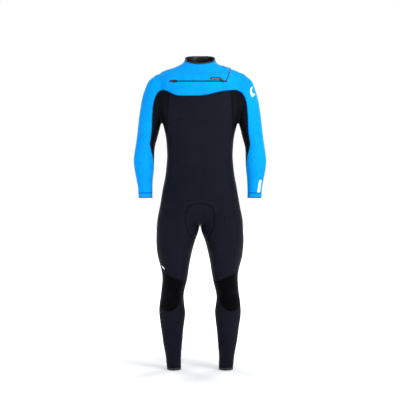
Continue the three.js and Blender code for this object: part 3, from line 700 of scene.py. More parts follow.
chest_seam = {
    "left": [(0, 1.3655), (0.042, 1.3715), (0.080, 1.3810), (0.115, 1.3880), (0.1504, 1.3918),
             (0.180, 1.3925), (0.203, 1.3805)],
    "right": [(0, 1.3652), (0.050, 1.3648), (0.095, 1.3652), (0.122, 1.3690), (0.1504, 1.3825),
              (0.180, 1.3930), (0.204, 1.3835)],
}
arm_seam = [
    (0.2180, 1.3600), (0.2265, 1.3350), (0.2318, 1.3000), (0.2345, 1.2550), (0.2370, 1.193), (0.2430, 1.151),
    (0.2460, 1.127), (0.2400, 1.0969), (0.2330, 1.0668), (0.2290, 1.0307), (0.2240, 0.988),
]
colour_seam = {name: curved([*chest_seam[name], *arm_seam], 4) for name in sides}
for name, side in sides.items():
    body_seam = curved([
        (0.1670, 1.166), (0.1640, 1.200), (0.1600, 1.248), (0.1565, 1.321), (0.1504, chest_seam[name][4][1]),
    ], 6)
    outer = [p for p in colour_seam[name] if p[0] > 0.1505]
    arm_inner = [*body_seam, *outer, (0.195, 0.985), (0.195, 1.166)]
    cut_panel(skin, f"{name}_underarm", outline_field(on_side(side, arm_inner)))
    sleeve_line = curved([
        (0.184, 1.3925), (0.183, 1.412), (0.178, 1.440), (0.172, 1.480), (0.170, 1.560),
    ], 6)
    sleeve = [*sleeve_line, (far_out, 1.560), (far_out, 0.8), (0.222, 0.8), (0.222, 1.0),
              (0.19, 1.2), (0.184, 1.38)]
    cut_panel(skin, f"{name}_sleeve", outline_field(on_side(side, sleeve)), sink=quiet_sink)

flap_edge = curved([
    (zip_right - 0.004, zip_z + zip_lip), (zip_right + 0.001, 1.4500), (0.1405, 1.4740),
    (0.150, 1.502), (0.156, 1.530), (0.160, 1.60),
], 5)
flap = [(zip_left, zip_z + zip_lip), *flap_edge, (-0.151, 1.60), (-0.151, 1.48)]
front_half = beyond(1, 0, -1)
cut_panel(
    skin, "zip_slot", beyond(2, zip_z - zip_lip), beyond(2, zip_z + zip_lip, -1), beyond(0, zip_left),
    beyond(0, zip_right, -1), front_half, sink=0, stitched=False)
cut_panel(skin, "entry_flap_face", outline_field(flap), beyond(1, shoulder_y, -1), sink=quiet_sink)
yoke = [*on_side(-1, colour_seam["right"][::-1]), *colour_seam["left"][1:]]
yoke = [p for p in yoke if p[1] > 1.362]
yoke = [*yoke, (far_out, 1.37), (far_out, 1.60), (-far_out, 1.60), (-far_out, 1.37)]
cut_panel(skin, "front_yoke", outline_field(yoke), beyond(1, shoulder_y, -1))
cut_panel(skin, "back_yoke", outline_field(yoke), beyond(1, shoulder_y))
cut_panel(skin, "back_body", beyond(2, 0.90), beyond(1, side_y))
skin.panel[skin.panel == "uncut"] = "chest_body"

# A cut that runs along an older seam can leave slivers; each goes to the panel it touches most.
sliver_size = 80
edge = np.stack([skin.triangles, np.roll(skin.triangles, -1, 1)], axis=2).reshape(-1, 2)
_, shared = np.unique(np.sort(edge, axis=1), axis=0, return_inverse=True)
order = np.argsort(shared.ravel(), kind="stable")
paired = np.flatnonzero(np.diff(shared.ravel()[order]) == 0)
touching = np.stack([order[paired] // 3, order[paired + 1] // 3], axis=1)
same = skin.panel[touching[:, 0]] == skin.panel[touching[:, 1]]
island = np.arange(len(skin.triangles))
while True:
    lowest = island.copy()
    ends = island[touching[same]]
    np.minimum.at(lowest, ends.ravel(), np.repeat(ends.min(axis=1), 2))
    lowest = lowest[island]
    if (lowest == island).all():
        break
    island = lowest
size = np.bincount(island, minlength=len(island))[island]
for _ in range(3):
    for here, there in ((0, 1), (1, 0)):
        a, b = touching[~same, here], touching[~same, there]
        moving = (size[a] < sliver_size) & (size[b] >= sliver_size)
        for lone in np.unique(island[a[moving]]):
            around = skin.panel[b[moving & (island[a] == lone)]]
            names, votes = np.unique(around.astype(str), return_counts=True)
            skin.panel[island == lone] = names[votes.argmax()]
            size[island == lone] = len(island)

# ---------------------------------------------------------------- fabric finishes
# Neoprene faced with knitted jersey on both sides. The knit shows as fine upright ribs, the black
# jersey is flecked with lighter fibres, and the smooth-skin edges are bare glossy rubber.


def add_node(tree, kind, **values):
    node = tree.nodes.new("ShaderNode" + kind)
    for key, value in values.items():
        setattr(node, key, value)
    return node


def math_node(tree, operation, first, second=None):
    node = add_node(tree, "Math", operation=operation)
    for socket, value in zip(node.inputs, (first, second)):
        if value is None:
            continue
        if isinstance(value, (int, float)):
            socket.default_value = value
        else:
            tree.links.new(value, socket)
    return node.outputs[0]


def new_group(name, inputs, outputs):
    group = bpy.data.node_groups.new(name, "ShaderNodeTree")
    for label, kind, value in inputs:
        socket = group.interface.new_socket(label, in_out="INPUT", socket_type="NodeSocket" + kind)
        if value is not None:
            socket.default_value = value
    for label, kind in outputs:
        group.interface.new_socket(label, in_out="OUTPUT", socket_type="NodeSocket" + kind)
    return group, group.nodes.new("NodeGroupInput").outputs, group.nodes.new("NodeGroupOutput").inputs


def mix_colour(tree, factor, first, second, blend="MIX"):
    node = add_node(tree, "Mix", data_type="RGBA", blend_type=blend)
    for socket, value in zip((node.inputs[0], node.inputs[6], node.inputs[7]), (factor, first, second)):
        if isinstance(value, bpy.types.NodeSocket):
            tree.links.new(value, socket)
        else:
            socket.default_value = value
    return node.outputs[2]


def noise_of(tree, place, scale, detail=2.0, roughness=0.5):
    node = add_node(tree, "TexNoise")
    node.inputs["Detail"].default_value = detail
    node.inputs["Roughness"].default_value = roughness
    tree.links.new(place, node.inputs["Vector"])
    if isinstance(scale, bpy.types.NodeSocket):
        tree.links.new(scale, node.inputs["Scale"])
    else:
        node.inputs["Scale"].default_value = scale
    return node.outputs["Fac"]


def remap(tree, value, low, high, to_low=0.0, to_high=1.0):
    node = add_node(tree, "MapRange")
    node.interpolation_type = "SMOOTHSTEP"
    tree.links.new(value, node.inputs["Value"])
    for label, number in (("From Min", low), ("From Max", high), ("To Min", to_low), ("To Max", to_high)):
        node.inputs[label].default_value = number
    return node.outputs["Result"]


def make_knit():
    """Columns of small V-shaped stitches, from a place on the fabric in metres: their height, and a mask of
    their low parts used for painted shade.
    """
    group, given, made = new_group(
        "knit",
        [("Fabric", "Vector", None), ("Stitch", "Float", 0.0015)],
        [("Height", "Float"), ("Hollow shade", "Float")],
    )
    split = add_node(group, "SeparateXYZ")
    group.links.new(given["Fabric"], split.inputs[0])
    column = math_node(group, "DIVIDE", split.outputs[0], given["Stitch"])
    course = math_node(group, "DIVIDE", split.outputs[1], given["Stitch"])
    in_column = math_node(group, "PINGPONG", column, 0.5)
    slant = math_node(group, "ADD", math_node(group, "MULTIPLY", course, 1.3),
                      math_node(group, "MULTIPLY", in_column, 1.6))
    loop = math_node(group, "SINE", math_node(group, "MULTIPLY", slant, 2 * math.pi))
    rib = math_node(group, "SINE", math_node(group, "MULTIPLY", in_column, 2 * math.pi))
    height = math_node(group, "ADD", math_node(group, "MULTIPLY", loop, 0.22),
                       math_node(group, "MULTIPLY", rib, 0.6))
    group.links.new(height, made["Height"])
    group.links.new(remap(group, height, 0.15, -0.2), made["Hollow shade"])
    return group


def make_wear_and_seam_shade():
    """Broad unevenness, fine lint and a darker, flatter band by each seam: partly what glue and stretch
    leave, partly painted shade of the seam's groove.
    """
    group, given, made = new_group(
        "fabric_wear_and_seam_shade",
        [("Place", "Vector", None), ("Seam distance", "Float", 0.05)],
        [("Tone", "Float"), ("Lint", "Float"), ("Seam glue and shade", "Float"), ("Creases", "Float")],
    )
    broad = noise_of(group, given["Place"], 7.0, 3.0)
    middle = noise_of(group, given["Place"], 42.0, 3.0)
    group.links.new(
        math_node(group, "ADD", math_node(group, "MULTIPLY", broad, 0.65),
                  math_node(group, "MULTIPLY", middle, 0.35)), made["Tone"])
    group.links.new(remap(group, noise_of(group, given["Place"], 900.0, 2.0, 0.7), 0.60, 0.78), made["Lint"])
    group.links.new(remap(group, given["Seam distance"], 0.0065, 0.0), made["Seam glue and shade"])
    group.links.new(noise_of(group, given["Place"], 120.0, 4.0, 0.6), made["Creases"])
    return group


knit = make_knit()
wear_and_seam_shade = make_wear_and_seam_shade()


def start_material(name, roughness, sheen=0.0, sheen_tint=(1, 1, 1), specular=0.5):
    material = bpy.data.materials.new(name)
    material.use_nodes = True
    shader = material.node_tree.nodes["Principled BSDF"]
    shader.inputs["Roughness"].default_value = roughness
    shader.inputs["Sheen Weight"].default_value = sheen
    shader.inputs["Sheen Tint"].default_value = (*sheen_tint, 1)
    shader.inputs["Specular IOR Level"].default_value = specular
    return material, material.node_tree, shader


def use_group(tree, group, **inputs):
    node = add_node(tree, "Group", node_tree=group)
    for label, value in inputs.items():
        socket = node.inputs[label.replace("_", " ")]
        if isinstance(value, bpy.types.NodeSocket):
            tree.links.new(value, socket)
        else:
            socket.default_value = value
    return node.outputs


def bump(tree, shader, height, distance, strength=1.0):
    node = add_node(tree, "Bump")
    node.inputs["Distance"].default_value = distance
    node.inputs["Strength"].default_value = strength
    tree.links.new(height, node.inputs["Height"])
    tree.links.new(node.outputs["Normal"], shader.inputs["Normal"])


def jersey(name, base, shade, fleck, roughness, stitch=0.0015, flecks=0.25, relief=0.00022, sheen=0.0,
           specular=0.2):
    """Knitted jersey: a base colour, a darker colour for random tone and for painted shade in the knit's
    hollows and by the seams, and the colour of its stray fibres.
    """
    material, tree, shader = start_material(name, roughness, sheen, base, specular)
    place = add_node(tree, "TexCoord").outputs["Object"]
    fabric = add_node(tree, "UVMap", uv_map="fabric").outputs["UV"]
    seam = add_node(tree, "Attribute", attribute_name="seam_distance").outputs["Fac"]
    cloth = use_group(tree, knit, Fabric=fabric, Stitch=stitch)
    worn_and_seam_shaded = use_group(tree, wear_and_seam_shade, Place=place, Seam_distance=seam)
    toned = mix_colour(tree, remap(tree, worn_and_seam_shaded["Tone"], 0.35, 0.65, 0.0, 0.55), (*base, 1), (*shade, 1))
    # Painted shade: the knit's low parts are coloured darker.
    hollow = mix_colour(tree, math_node(tree, "MULTIPLY", cloth["Hollow shade"], 0.5), toned, (*shade, 1))
    flecked = mix_colour(tree, math_node(tree, "MULTIPLY", worn_and_seam_shaded["Lint"], flecks), hollow, (*fleck, 1))
    # Partly glue, partly painted shade: the colour darkens in a band by each seam groove.
    seamed = mix_colour(tree, math_node(tree, "MULTIPLY", worn_and_seam_shaded["Seam glue and shade"], 0.8), flecked,
                        tuple(0.4 * c for c in shade) + (1,))
    tree.links.new(seamed, shader.inputs["Base Color"])
    rough = math_node(tree, "ADD", math_node(tree, "MULTIPLY", worn_and_seam_shaded["Tone"], 0.16), roughness - 0.08)
    tree.links.new(rough, shader.inputs["Roughness"])
    height = math_node(tree, "ADD", cloth["Height"],
                       math_node(tree, "MULTIPLY", worn_and_seam_shaded["Creases"], 1.2))
    bump(tree, shader, height, relief, 0.8)
    return material


blue_jersey = jersey("blue_jersey", (0.001, 0.36, 0.93), (0.001, 0.25, 0.80), (0.004, 0.42, 0.96), 0.7,
                     stitch=0.0014, flecks=0.10, specular=0.04)
heather_jersey = jersey("heather_jersey", (0.0061, 0.0069, 0.0137), (0.0043, 0.0048, 0.0099),
                        (0.034, 0.037, 0.056), 0.56, flecks=0.5, specular=0.05)
black_jersey = jersey("black_jersey", (0.0030, 0.0042, 0.0072), (0.0020, 0.0028, 0.0050),
                      (0.012, 0.014, 0.020), 0.52, stitch=0.0017, flecks=0.3, specular=0.045)
knee_rubber = jersey("knee_rubber", (0.0012, 0.0011, 0.0022), (0.0008, 0.0008, 0.0015),
                     (0.006, 0.006, 0.009), 0.46, stitch=0.0026, flecks=0.2, relief=0.0005, specular=0.03)

# ---------------------------------------------------------------- making up the panels
# A cut panel becomes a sheet of neoprene: the skin is its outer face, its inner face lies one
# thickness inside, and its edge dips to meet the next panel in a narrow groove.

fabric_centres = {
    "arm": np.array([[r[0], r[1], r[2]] for r in arm_rows[::-1]]),
    "leg": np.array([[r[0], r[1], r[2]] for r in leg_rows]),
}


def fabric_place(points, limb, side):
    """Where each point lies on the flat fabric: metres round the limb, and metres up it."""
    if limb == "torso":
        middle_x, middle_y, radius, start = 0, 0, 0.15, math.pi / 2
    else:
        rows = fabric_centres[limb]
        middle_x = side * np.interp(points[:, 2], rows[:, 0], rows[:, 1])
        middle_y = np.interp(points[:, 2], rows[:, 0], rows[:, 2])
        radius, start = (0.05, 0) if limb == "arm" else (0.07, 0)
    turn = np.arctan2(points[:, 1] - middle_y, side * (points[:, 0] - middle_x))
    return (turn - start) % (2 * math.pi) * radius, points[:, 2], 2 * math.pi * radius


def neighbours_mean(triangles, points, count):
    """The mean of the triangle centres round each vertex."""
    centre = points[triangles].mean(axis=1)
    total = np.zeros((count, 3))
    amount = np.zeros(count)
    for i in range(3):
        np.add.at(total, triangles[:, i], centre)
        np.add.at(amount, triangles[:, i], 1)
    return total / amount[:, None]


edge_ease = 0.00012


def panel_area(points, triangles):
    corner = points[triangles]
    doubled = np.cross(corner[:, 1] - corner[:, 0], corner[:, 2] - corner[:, 0])
    return 0.5 * np.linalg.norm(doubled, axis=1).sum()


def make_panel(name, title, finish, limb="torso", side=1, thin=None, lift=None, cloth=skin):
    """Makes up one panel as a closed sheet; thin and lift vary its thickness and its stand-off."""
    cut = cloth.triangles[cloth.panel == name]
    used, index = np.unique(cut, return_inverse=True)
    triangles = index.reshape(-1, 3)
    points, outward = cloth.points[used].copy(), cloth.outward[used]
    outward = outward / np.linalg.norm(outward, axis=1)[:, None]
    rim = panel_edges(triangles)
    edge = np.unique(rim)
    ease = neighbours_mean(triangles, points, len(points))[edge] - points[edge]
    ease -= (ease * outward[edge]).sum(axis=1)[:, None] * outward[edge]
    ease /= np.maximum(np.linalg.norm(ease, axis=1), 1e-9)[:, None]
    points[edge] += edge_ease * ease
    wall = np.full(len(points), neoprene) if thin is None else thin(points)
    inner = points - outward * wall[:, None]
    outer = points.copy()
    outer[edge] -= outward[edge] * cloth.sink[used][edge][:, None]
    if lift is not None:
        rise = lift(points)[:, None] * outward
        outer += rise
        inner += rise
    count = len(points)
    a, b = rim.T
    walls = np.vstack([np.stack([b, a, a + count], 1), np.stack([b, a + count, b + count], 1)])
    faces = np.vstack([triangles, triangles[:, ::-1] + count, walls])
    vertices = np.vstack([outer, inner])
    mesh = bpy.data.meshes.new(title)
    mesh.from_pydata(vertices.tolist(), [], faces.tolist())
    marked = edge[cloth.sink[used][edge] > quiet_sink]
    tree = KDTree(len(marked) + 1)
    tree.insert((0, 0, 9), 0)
    for point in points[marked]:
        tree.insert(point, 1)
    tree.balance()
    to_seam = np.array([tree.find(p)[2] for p in points])
    attribute = mesh.attributes.new("seam_distance", "FLOAT", "POINT")
    attribute.data.foreach_set("value", np.tile(to_seam, 2).astype(np.float32))
    around, up, whole = fabric_place(vertices, limb, side)
    corner_around = around[faces]
    split = np.ptp(corner_around, axis=1) > whole / 2
    corner_around[split] += np.where(corner_around[split] < whole / 2, whole, 0)
    placed = np.stack([corner_around, up[faces]], axis=2)
    uv = mesh.uv_layers.new(name="fabric")
    uv.data.foreach_set("uv", placed.ravel().astype(np.float32))
    mesh.materials.append(finish)
    piece = bpy.data.objects.new(title, mesh)
    bpy.context.scene.collection.objects.link(piece)
    make_active(piece)
    bpy.ops.object.shade_smooth_by_angle(angle=math.radians(38))
    size = outer[:, 2].max() - outer[:, 2].min()
    area = panel_area(outer, triangles)
    return piece, area, size


def level(value):
    return value if callable(value) else (lambda points: np.full(len(points), value))


def make_film(title, finish, fields, low, high, limb="torso", side=1, sink=0.0003):
    """A thin strip or patch laid on the skin: the region of a field, from one stand-off to another."""
    cloth = copy.copy(whole_skin)
    cloth.points = whole_skin.points.copy()
    cut_panel(cloth, title, *fields, sink=sink, stitched=False)
    foot, top = level(low), level(high)
    return make_panel(title, title, finish, limb, side,
                      lambda points: top(points) - foot(points), top, cloth)


def elbow_blend(piece, side_name):
    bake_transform(piece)


def knee_blend(piece, side_name):
    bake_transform(piece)


# ---------------------------------------------------------------- chest and back
# Heather jersey over the chest and stomach, plain black stretch jersey over the back. Both are
# lined sheets of 3.6 mm neoprene, glued edge to edge with their neighbours and blind-stitched.

for name, title, finish, node, slot_name in (
    ("chest_body", "chest_and_stomach", heather_jersey, "chest_panel", "heather_jersey"),
    ("back_body", "back", black_jersey, "back_panel", "black_jersey"),
):
    piece, area, length = make_panel(name, title, finish)
    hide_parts(node)
    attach(piece, "suit")

# ---------------------------------------------------------------- yokes and collar
# Blue jersey across the collarbones and the shoulder blades. The collar is a low stand of the same
# fabric, and its rim is bound with a strip of smooth rubber.


def skived(points):
    """The fabric's thickness, thinned where it runs over the zip's tapes."""
    over_tape = ramp(np.abs(points[:, 2] - zip_z), 0.024, 0.016) * (points[:, 1] < 0)
    return neoprene - (neoprene - 0.0010) * over_tape * (np.abs(points[:, 0]) < 0.17)


for name, title, node in (
    ("front_yoke", "chest_yoke", "yoke_front"),
    ("back_yoke", "shoulder_yoke", "yoke_back"),
    ("collar", "neck_collar", "collar"),
):
    piece, area, length = make_panel(name, title, blue_jersey, thin=skived)
    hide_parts(node)
    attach(piece, "suit")


def smooth_rubber(name, base, roughness, grain=0.00008, specular=0.5):
    """Bare rubber skin: nearly smooth, with fine pits and slightly polished high spots."""
    material, tree, shader = start_material(name, roughness, specular=specular)
    place = add_node(tree, "TexCoord").outputs["Object"]
    seam = add_node(tree, "Attribute", attribute_name="seam_distance").outputs["Fac"]
    worn_and_seam_shaded = use_group(tree, wear_and_seam_shade, Place=place, Seam_distance=seam)
    tone = mix_colour(tree, remap(tree, worn_and_seam_shaded["Tone"], 0.35, 0.65), (*base, 1),
                      tuple(1.7 * c for c in base) + (1,))
    dusty = mix_colour(tree, math_node(tree, "MULTIPLY", worn_and_seam_shaded["Lint"], 0.18), tone, (0.09, 0.09, 0.1, 1))
    tree.links.new(dusty, shader.inputs["Base Color"])
    rough = math_node(tree, "ADD", math_node(tree, "MULTIPLY", worn_and_seam_shaded["Creases"], 0.25), roughness - 0.1)
    tree.links.new(rough, shader.inputs["Roughness"])
    pits = noise_of(tree, place, 1400.0, 2.0)
    bump(tree, shader, math_node(tree, "ADD", pits, worn_and_seam_shaded["Creases"]), grain, 0.6)
    return material


rim_rubber = smooth_rubber("rim_rubber", (0.006, 0.006, 0.008), 0.42)
piece, area, _ = make_panel("collar_edge", "collar_rim_binding", rim_rubber)
area *= (binding_height + neoprene) / binding_height
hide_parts("collar_binding")
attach(piece, "suit")

# ---------------------------------------------------------------- entry flap
# The flap that closes the chest entry. It is cut from the same blue jersey, lies over the wearer's
# left shoulder, and its free edge stands proud of the yoke.

flap_stand = 0.0024
shoulder_stand = 0.0032


def flap_rise(points):
    """How far the flap stands off the yoke: nothing by the zip, most on the shoulder."""
    x, _, z = points.T
    low = flap_stand * ramp(x, 0.02, 0.12) * ramp(z, zip_z + 0.004, zip_z + 0.03)
    return low + shoulder_stand * ramp(x, 0.09, 0.145) * ramp(z, zip_z + 0.03, zip_z + 0.065)


flap_piece, area, length = make_panel("entry_flap_face", "entry_flap_blue", blue_jersey,
                                      thin=skived, lift=flap_rise)
black_binding_and_shadow = smooth_rubber("black_binding_and_shadow", (0.0022, 0.0024, 0.0035), 0.5)


def chained(run):
    """The edges of a seam joined end to end: paths of points, each with its outward directions."""
    _, points, outward = run
    keys = [[tuple(np.round(p, 6)) for p in pair] for pair in points]
    after = {pair[0]: i for i, pair in enumerate(keys)}
    ends = {pair[1] for pair in keys}
    unused = set(range(len(keys)))
    for head in sorted(unused, key=lambda i: (keys[i][0] in ends, i)):
        path, facing = [points[head, 0]], [outward[head, 0]]
        while head in unused:
            unused.discard(head)
            path.append(points[head, 1])
            facing.append(outward[head, 1])
            head = after.get(keys[head][1])
        if len(path) > 2:
            yield np.array(path), np.array(facing)


def evenly(path, facing, gap, reach):
    """Places a set distance apart along a path: where, which way it runs, and which way is out."""
    step = np.linalg.norm(np.diff(path, axis=0), axis=1)
    run = np.append(0, np.cumsum(step))
    at = np.arange(gap / 2, run[-1], gap)
    place = np.stack([np.interp(at, run, path[:, i]) for i in range(3)], 1)
    ahead = np.stack([np.interp(at + reach, run, path[:, i]) for i in range(3)], 1)
    behind = np.stack([np.interp(at - reach, run, path[:, i]) for i in range(3)], 1)
    out = np.stack([np.interp(at, run, facing[:, i]) for i in range(3)], 1)
    along = ahead - behind
    along /= np.maximum(np.linalg.norm(along, axis=1), 1e-9)[:, None]
    out -= (out * along).sum(axis=1)[:, None] * along
    out /= np.linalg.norm(out, axis=1)[:, None]
    return place, along, out


def swept_strip(name, place, along, out, section):
    """A grid rolled into a tube along a path; section gives (across, up) round each ring."""
    rings, around = len(place), section.shape[1]
    clear_selection()
    bpy.ops.mesh.primitive_grid_add(x_subdivisions=around, y_subdivisions=rings - 1, size=1)
    piece = bpy.context.object
    piece.name = name
    flat = points_of(piece.data)
    ring = np.rint((flat[:, 1] + 0.5) * (rings - 1)).astype(int)
    spot = np.rint((flat[:, 0] + 0.5) * around).astype(int) % around
    across = np.cross(along, out)
    placed = (place[ring] + across[ring] * section[ring, spot, :1]
              + out[ring] * section[ring, spot, 1:])
    piece.data.vertices.foreach_set("co", placed.ravel())
    make_active(piece)
    bpy.ops.object.mode_set(mode="EDIT")
    bpy.ops.mesh.select_all(action="SELECT")
    bpy.ops.mesh.remove_doubles(threshold=1e-6)
    bpy.ops.mesh.select_non_manifold()
    bpy.ops.mesh.fill_holes(sides=0)
    bpy.ops.mesh.select_all(action="SELECT")
    bpy.ops.mesh.normals_make_consistent(inside=False)
    bpy.ops.object.mode_set(mode="OBJECT")
    bpy.ops.object.shade_smooth_by_angle(angle=math.radians(50))
    return piece


edge_step, edge_reach = 0.003, 0.006
ring_corners = 12
flap_run = next(run for run in seam_runs if run[0] == "entry_flap_face")
free_edge = (flap_run[1][:, :, 0].min(axis=1) > 0.1) & (flap_run[1][:, :, 2].min(axis=1) > zip_z + zip_lip)
free_run = (flap_run[0], flap_run[1][free_edge], flap_run[2][free_edge])
edge_path, edge_out = max(chained(free_run), key=lambda path: len(path[0]))
place, along, out = evenly(edge_path, edge_out, edge_step, edge_reach)
# A black strip runs along the flap's free edge: partly the edge's own binding, partly a painted shadow, a
# dark band standing in for the shade under the proud edge.
flap_strip_half, flap_strip_foot, flap_strip_top = 0.0028, -0.0012, 0.0011
turns = np.arange(ring_corners) * 2 * math.pi / ring_corners
stand = flap_rise(place)[:, None]
middle, half_height = (stand + flap_strip_top + flap_strip_foot) / 2, (stand + flap_strip_top - flap_strip_foot) / 2
section = np.stack([
    np.tile(flap_strip_half * np.cos(turns), (len(place), 1)),
    middle + half_height * np.sin(turns),
], axis=2)
flap_binding_and_shadow = swept_strip("flap_edge_binding_and_shadow", place, along, out, section)
flap_binding_and_shadow.data.materials.append(black_binding_and_shadow)
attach(flap_binding_and_shadow, "suit")
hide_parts("entry_flap")
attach(flap_piece, "suit")

# ---------------------------------------------------------------- inner guards
# A second skin of thin smooth rubber lies behind the zip and stops water coming through its teeth.
# Another lines the collar and seals against the neck.

wind_flap, area, length = make_film(
    "zip_inner_guard", rim_rubber,
    (beyond(2, zip_z - 0.026), beyond(2, zip_z + 0.026, -1), beyond(0, zip_left - 0.008),
     beyond(0, zip_right + 0.008, -1), front_half),
    -0.0104, -0.0084)
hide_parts("zip_wind_flap")
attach(wind_flap, "suit")

neck_seal, area, length = make_film(
    "neck_seal", rim_rubber,
    (below_rim(collar_height - 0.006), lambda points: -below_rim(binding_height)(points)),
    -0.0062, -0.0042)
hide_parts("inner_neck_seal")
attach(neck_seal, "suit")

# ---------------------------------------------------------------- seat, thighs and lower legs
# A horseshoe gusset keeps seams out of the crotch. Each leg has a front and a back panel above the
# knee, a printed rubber pad over it, a thin stretch panel behind it, and a shin and a calf below.

seat, area, length = make_panel("seat_gusset", "seat_gusset", heather_jersey)
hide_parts("crotch_gusset")
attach(seat, "suit")

for name, side in sides.items():
    for part, node, finish, slot_name in (
        ("thigh", "thigh_front", heather_jersey, "heather_jersey"),
        ("hamstring", "thigh_back", heather_jersey, "heather_jersey"),
        ("knee_pad", "knee_panel", knee_rubber, "knee_rubber"),
        ("knee_pit", "knee_back", black_jersey, "black_jersey"),
        ("shin", "shin_panel", heather_jersey, "heather_jersey"),
        ("calf", "calf_panel", heather_jersey, "heather_jersey"),
    ):
        piece, area, length = make_panel(f"{name}_{part}", f"{name}_{part}", finish, "leg", side)
        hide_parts(f"{node}_{name}")
        knee_blend(piece, name)
    hem, area, length = make_panel(f"{name}_ankle_hem", f"{name}_ankle_edge", rim_rubber, "leg", side)
    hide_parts(f"ankle_hem_{name}")
    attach(hem, f"lower_leg_{name}")

# ---------------------------------------------------------------- sleeves
# One blue panel wraps the outside of the arm from the shoulder to the cuff. A black stretch panel
# runs from the side of the chest through the armpit to a point below the elbow.

for name, side in sides.items():
    sleeve_piece, area, length = make_panel(f"{name}_sleeve", f"{name}_sleeve", blue_jersey, "arm", side)
    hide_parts(f"upper_sleeve_{name}", f"elbow_sleeve_{name}", f"forearm_sleeve_{name}")
    elbow_blend(sleeve_piece, name)
    inner, area, length = make_panel(f"{name}_underarm", f"{name}_underarm", black_jersey, "arm", side)
    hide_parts(f"underarm_{name}", f"elbow_underarm_{name}")
    elbow_blend(inner, name)
    cuff, area, length = make_panel(f"{name}_cuff", f"{name}_wrist_cuff", blue_jersey, "arm", side)
    cuff_rim, _, _ = make_film(
        f"{name}_wrist_rim", rim_rubber,
        (beyond(2, wrist_z + 0.0042, -1), beyond(2, wrist_z + 0.0002), on_arms, beyond(0, 0, side)),
        -0.0005, 0.0009, "arm", side)
    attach(cuff_rim, f"forearm_{name}")
    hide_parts(f"cuff_{name}")
    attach(cuff, f"forearm_{name}")

# ---------------------------------------------------------------- printed marks
# Thin white screen prints: a plain comma shape on the left upper arm, a bar on the left forearm
# and a small dash above the right knee.


def make_print():
    material, tree, shader = start_material("white_print", 0.5, specular=0.3)
    place = add_node(tree, "TexCoord").outputs["Object"]
    fabric = add_node(tree, "UVMap", uv_map="fabric").outputs["UV"]
    cloth = use_group(tree, knit, Fabric=fabric, Stitch=0.0014)
    worn_and_seam_shaded = use_group(tree, wear_and_seam_shade, Place=place, Seam_distance=0.05)
    dirty = mix_colour(tree, math_node(tree, "MULTIPLY", worn_and_seam_shaded["Tone"], 0.25), (0.9, 0.93, 0.95, 1),
                       (0.62, 0.72, 0.8, 1))
    tree.links.new(dirty, shader.inputs["Base Color"])
    bump(tree, shader, cloth["Height"], 0.00012, 0.7)
    return material


white_print = make_print()
arm_mark = curved([
    (0.2600, 1.4130), (0.2500, 1.4060), (0.2465, 1.3930), (0.2470, 1.3800), (0.2520, 1.3680),
    (0.2570, 1.3570), (0.2590, 1.3600), (0.2640, 1.3660), (0.2725, 1.3720), (0.2665, 1.3760),
    (0.2580, 1.3800), (0.2545, 1.3900), (0.2570, 1.4010),
], 3)
forearm_bar = [(0.2925, 0.9510), (0.3045, 0.9510), (0.2960, 0.8895), (0.2825, 0.8895)]
thigh_dash = curved([(0.171, 0.5060), (0.182, 0.5130), (0.193, 0.5290), (0.187, 0.5250), (0.179, 0.5180)], 3)
for title, node, field, limb, side, side_name in (
    ("upper_arm_print", "print_upper_arm", outline_field(arm_mark), "arm", 1, "left"),
    ("forearm_print", "print_forearm", outline_field(forearm_bar), "arm", 1, "left"),
    ("thigh_print", "print_thigh", outline_field(on_side(-1, thigh_dash)), "leg", -1, "right"),
):
    mark, _, _ = make_film(title, white_print, (field, front_half), -0.0003, 0.0002, limb, side, 0.0)
    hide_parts(node)
    if limb == "arm":
        elbow_blend(mark, side_name)
    else:
        knee_blend(mark, side_name)

# ---------------------------------------------------------------- zip teeth
# Two rows of moulded teeth grip each other across the gap. One tooth is modelled and repeated along
# its tape, the lower row half a step on, and both rows are then bent round the chest.

moulded = smooth_rubber("moulded_plastic", (0.005, 0.005, 0.007), 0.4, 0.00004, 0.35)
tooth_step = 0.0028
tooth_low, tooth_high = -0.0009, 0.0008
teeth_from, teeth_to = -0.148, 0.121


def along_zip(x):
    """The distance along the zip's arc at which it reaches this x."""
    return zip_radius * math.asin(x / zip_radius)


def bend_round_chest(piece):
    """Takes a piece modelled flat, outside towards -y, and lays it on the zip's arc."""
    run, depth, z = points_of(piece.data).T
    radius = zip_radius - depth
    turn = run / zip_radius
    placed = np.stack([radius * np.sin(turn), zip_middle_y - radius * np.cos(turn), z], 1)
    piece.data.vertices.foreach_set("co", placed.ravel())
    piece.data.update()


def block(name, x_span, stand_span, z_span, softness, segments=2):
    """A box with rounded edges: along the zip, out from the skin, and up."""
    clear_selection()
    bpy.ops.mesh.primitive_cube_add(size=1)
    piece = bpy.context.object
    piece.name = name
    spans = (x_span, (-stand_span[1], -stand_span[0]), z_span)
    piece.location = [(low + high) / 2 for low, high in spans]
    piece.scale = [high - low for low, high in spans]
    bpy.ops.object.transform_apply(location=True, rotation=False, scale=True)
    bpy.ops.object.mode_set(mode="EDIT")
    bpy.ops.mesh.select_all(action="SELECT")
    bpy.ops.mesh.bevel(offset=softness, segments=segments, affect="EDGES")
    bpy.ops.object.mode_set(mode="OBJECT")
    return piece


def joined(name, pieces, finish):
    """One piece out of several parts moulded together."""
    clear_selection()
    for piece in pieces:
        piece.select_set(True)
    bpy.context.view_layer.objects.active = pieces[0]
    if len(pieces) > 1:
        bpy.ops.object.join()
    whole = bpy.context.view_layer.objects.active
    whole.name = name
    whole.data.materials.clear()
    whole.data.materials.append(finish)
    make_active(whole)
    bpy.ops.object.shade_smooth_by_angle(angle=math.radians(40))
    return whole


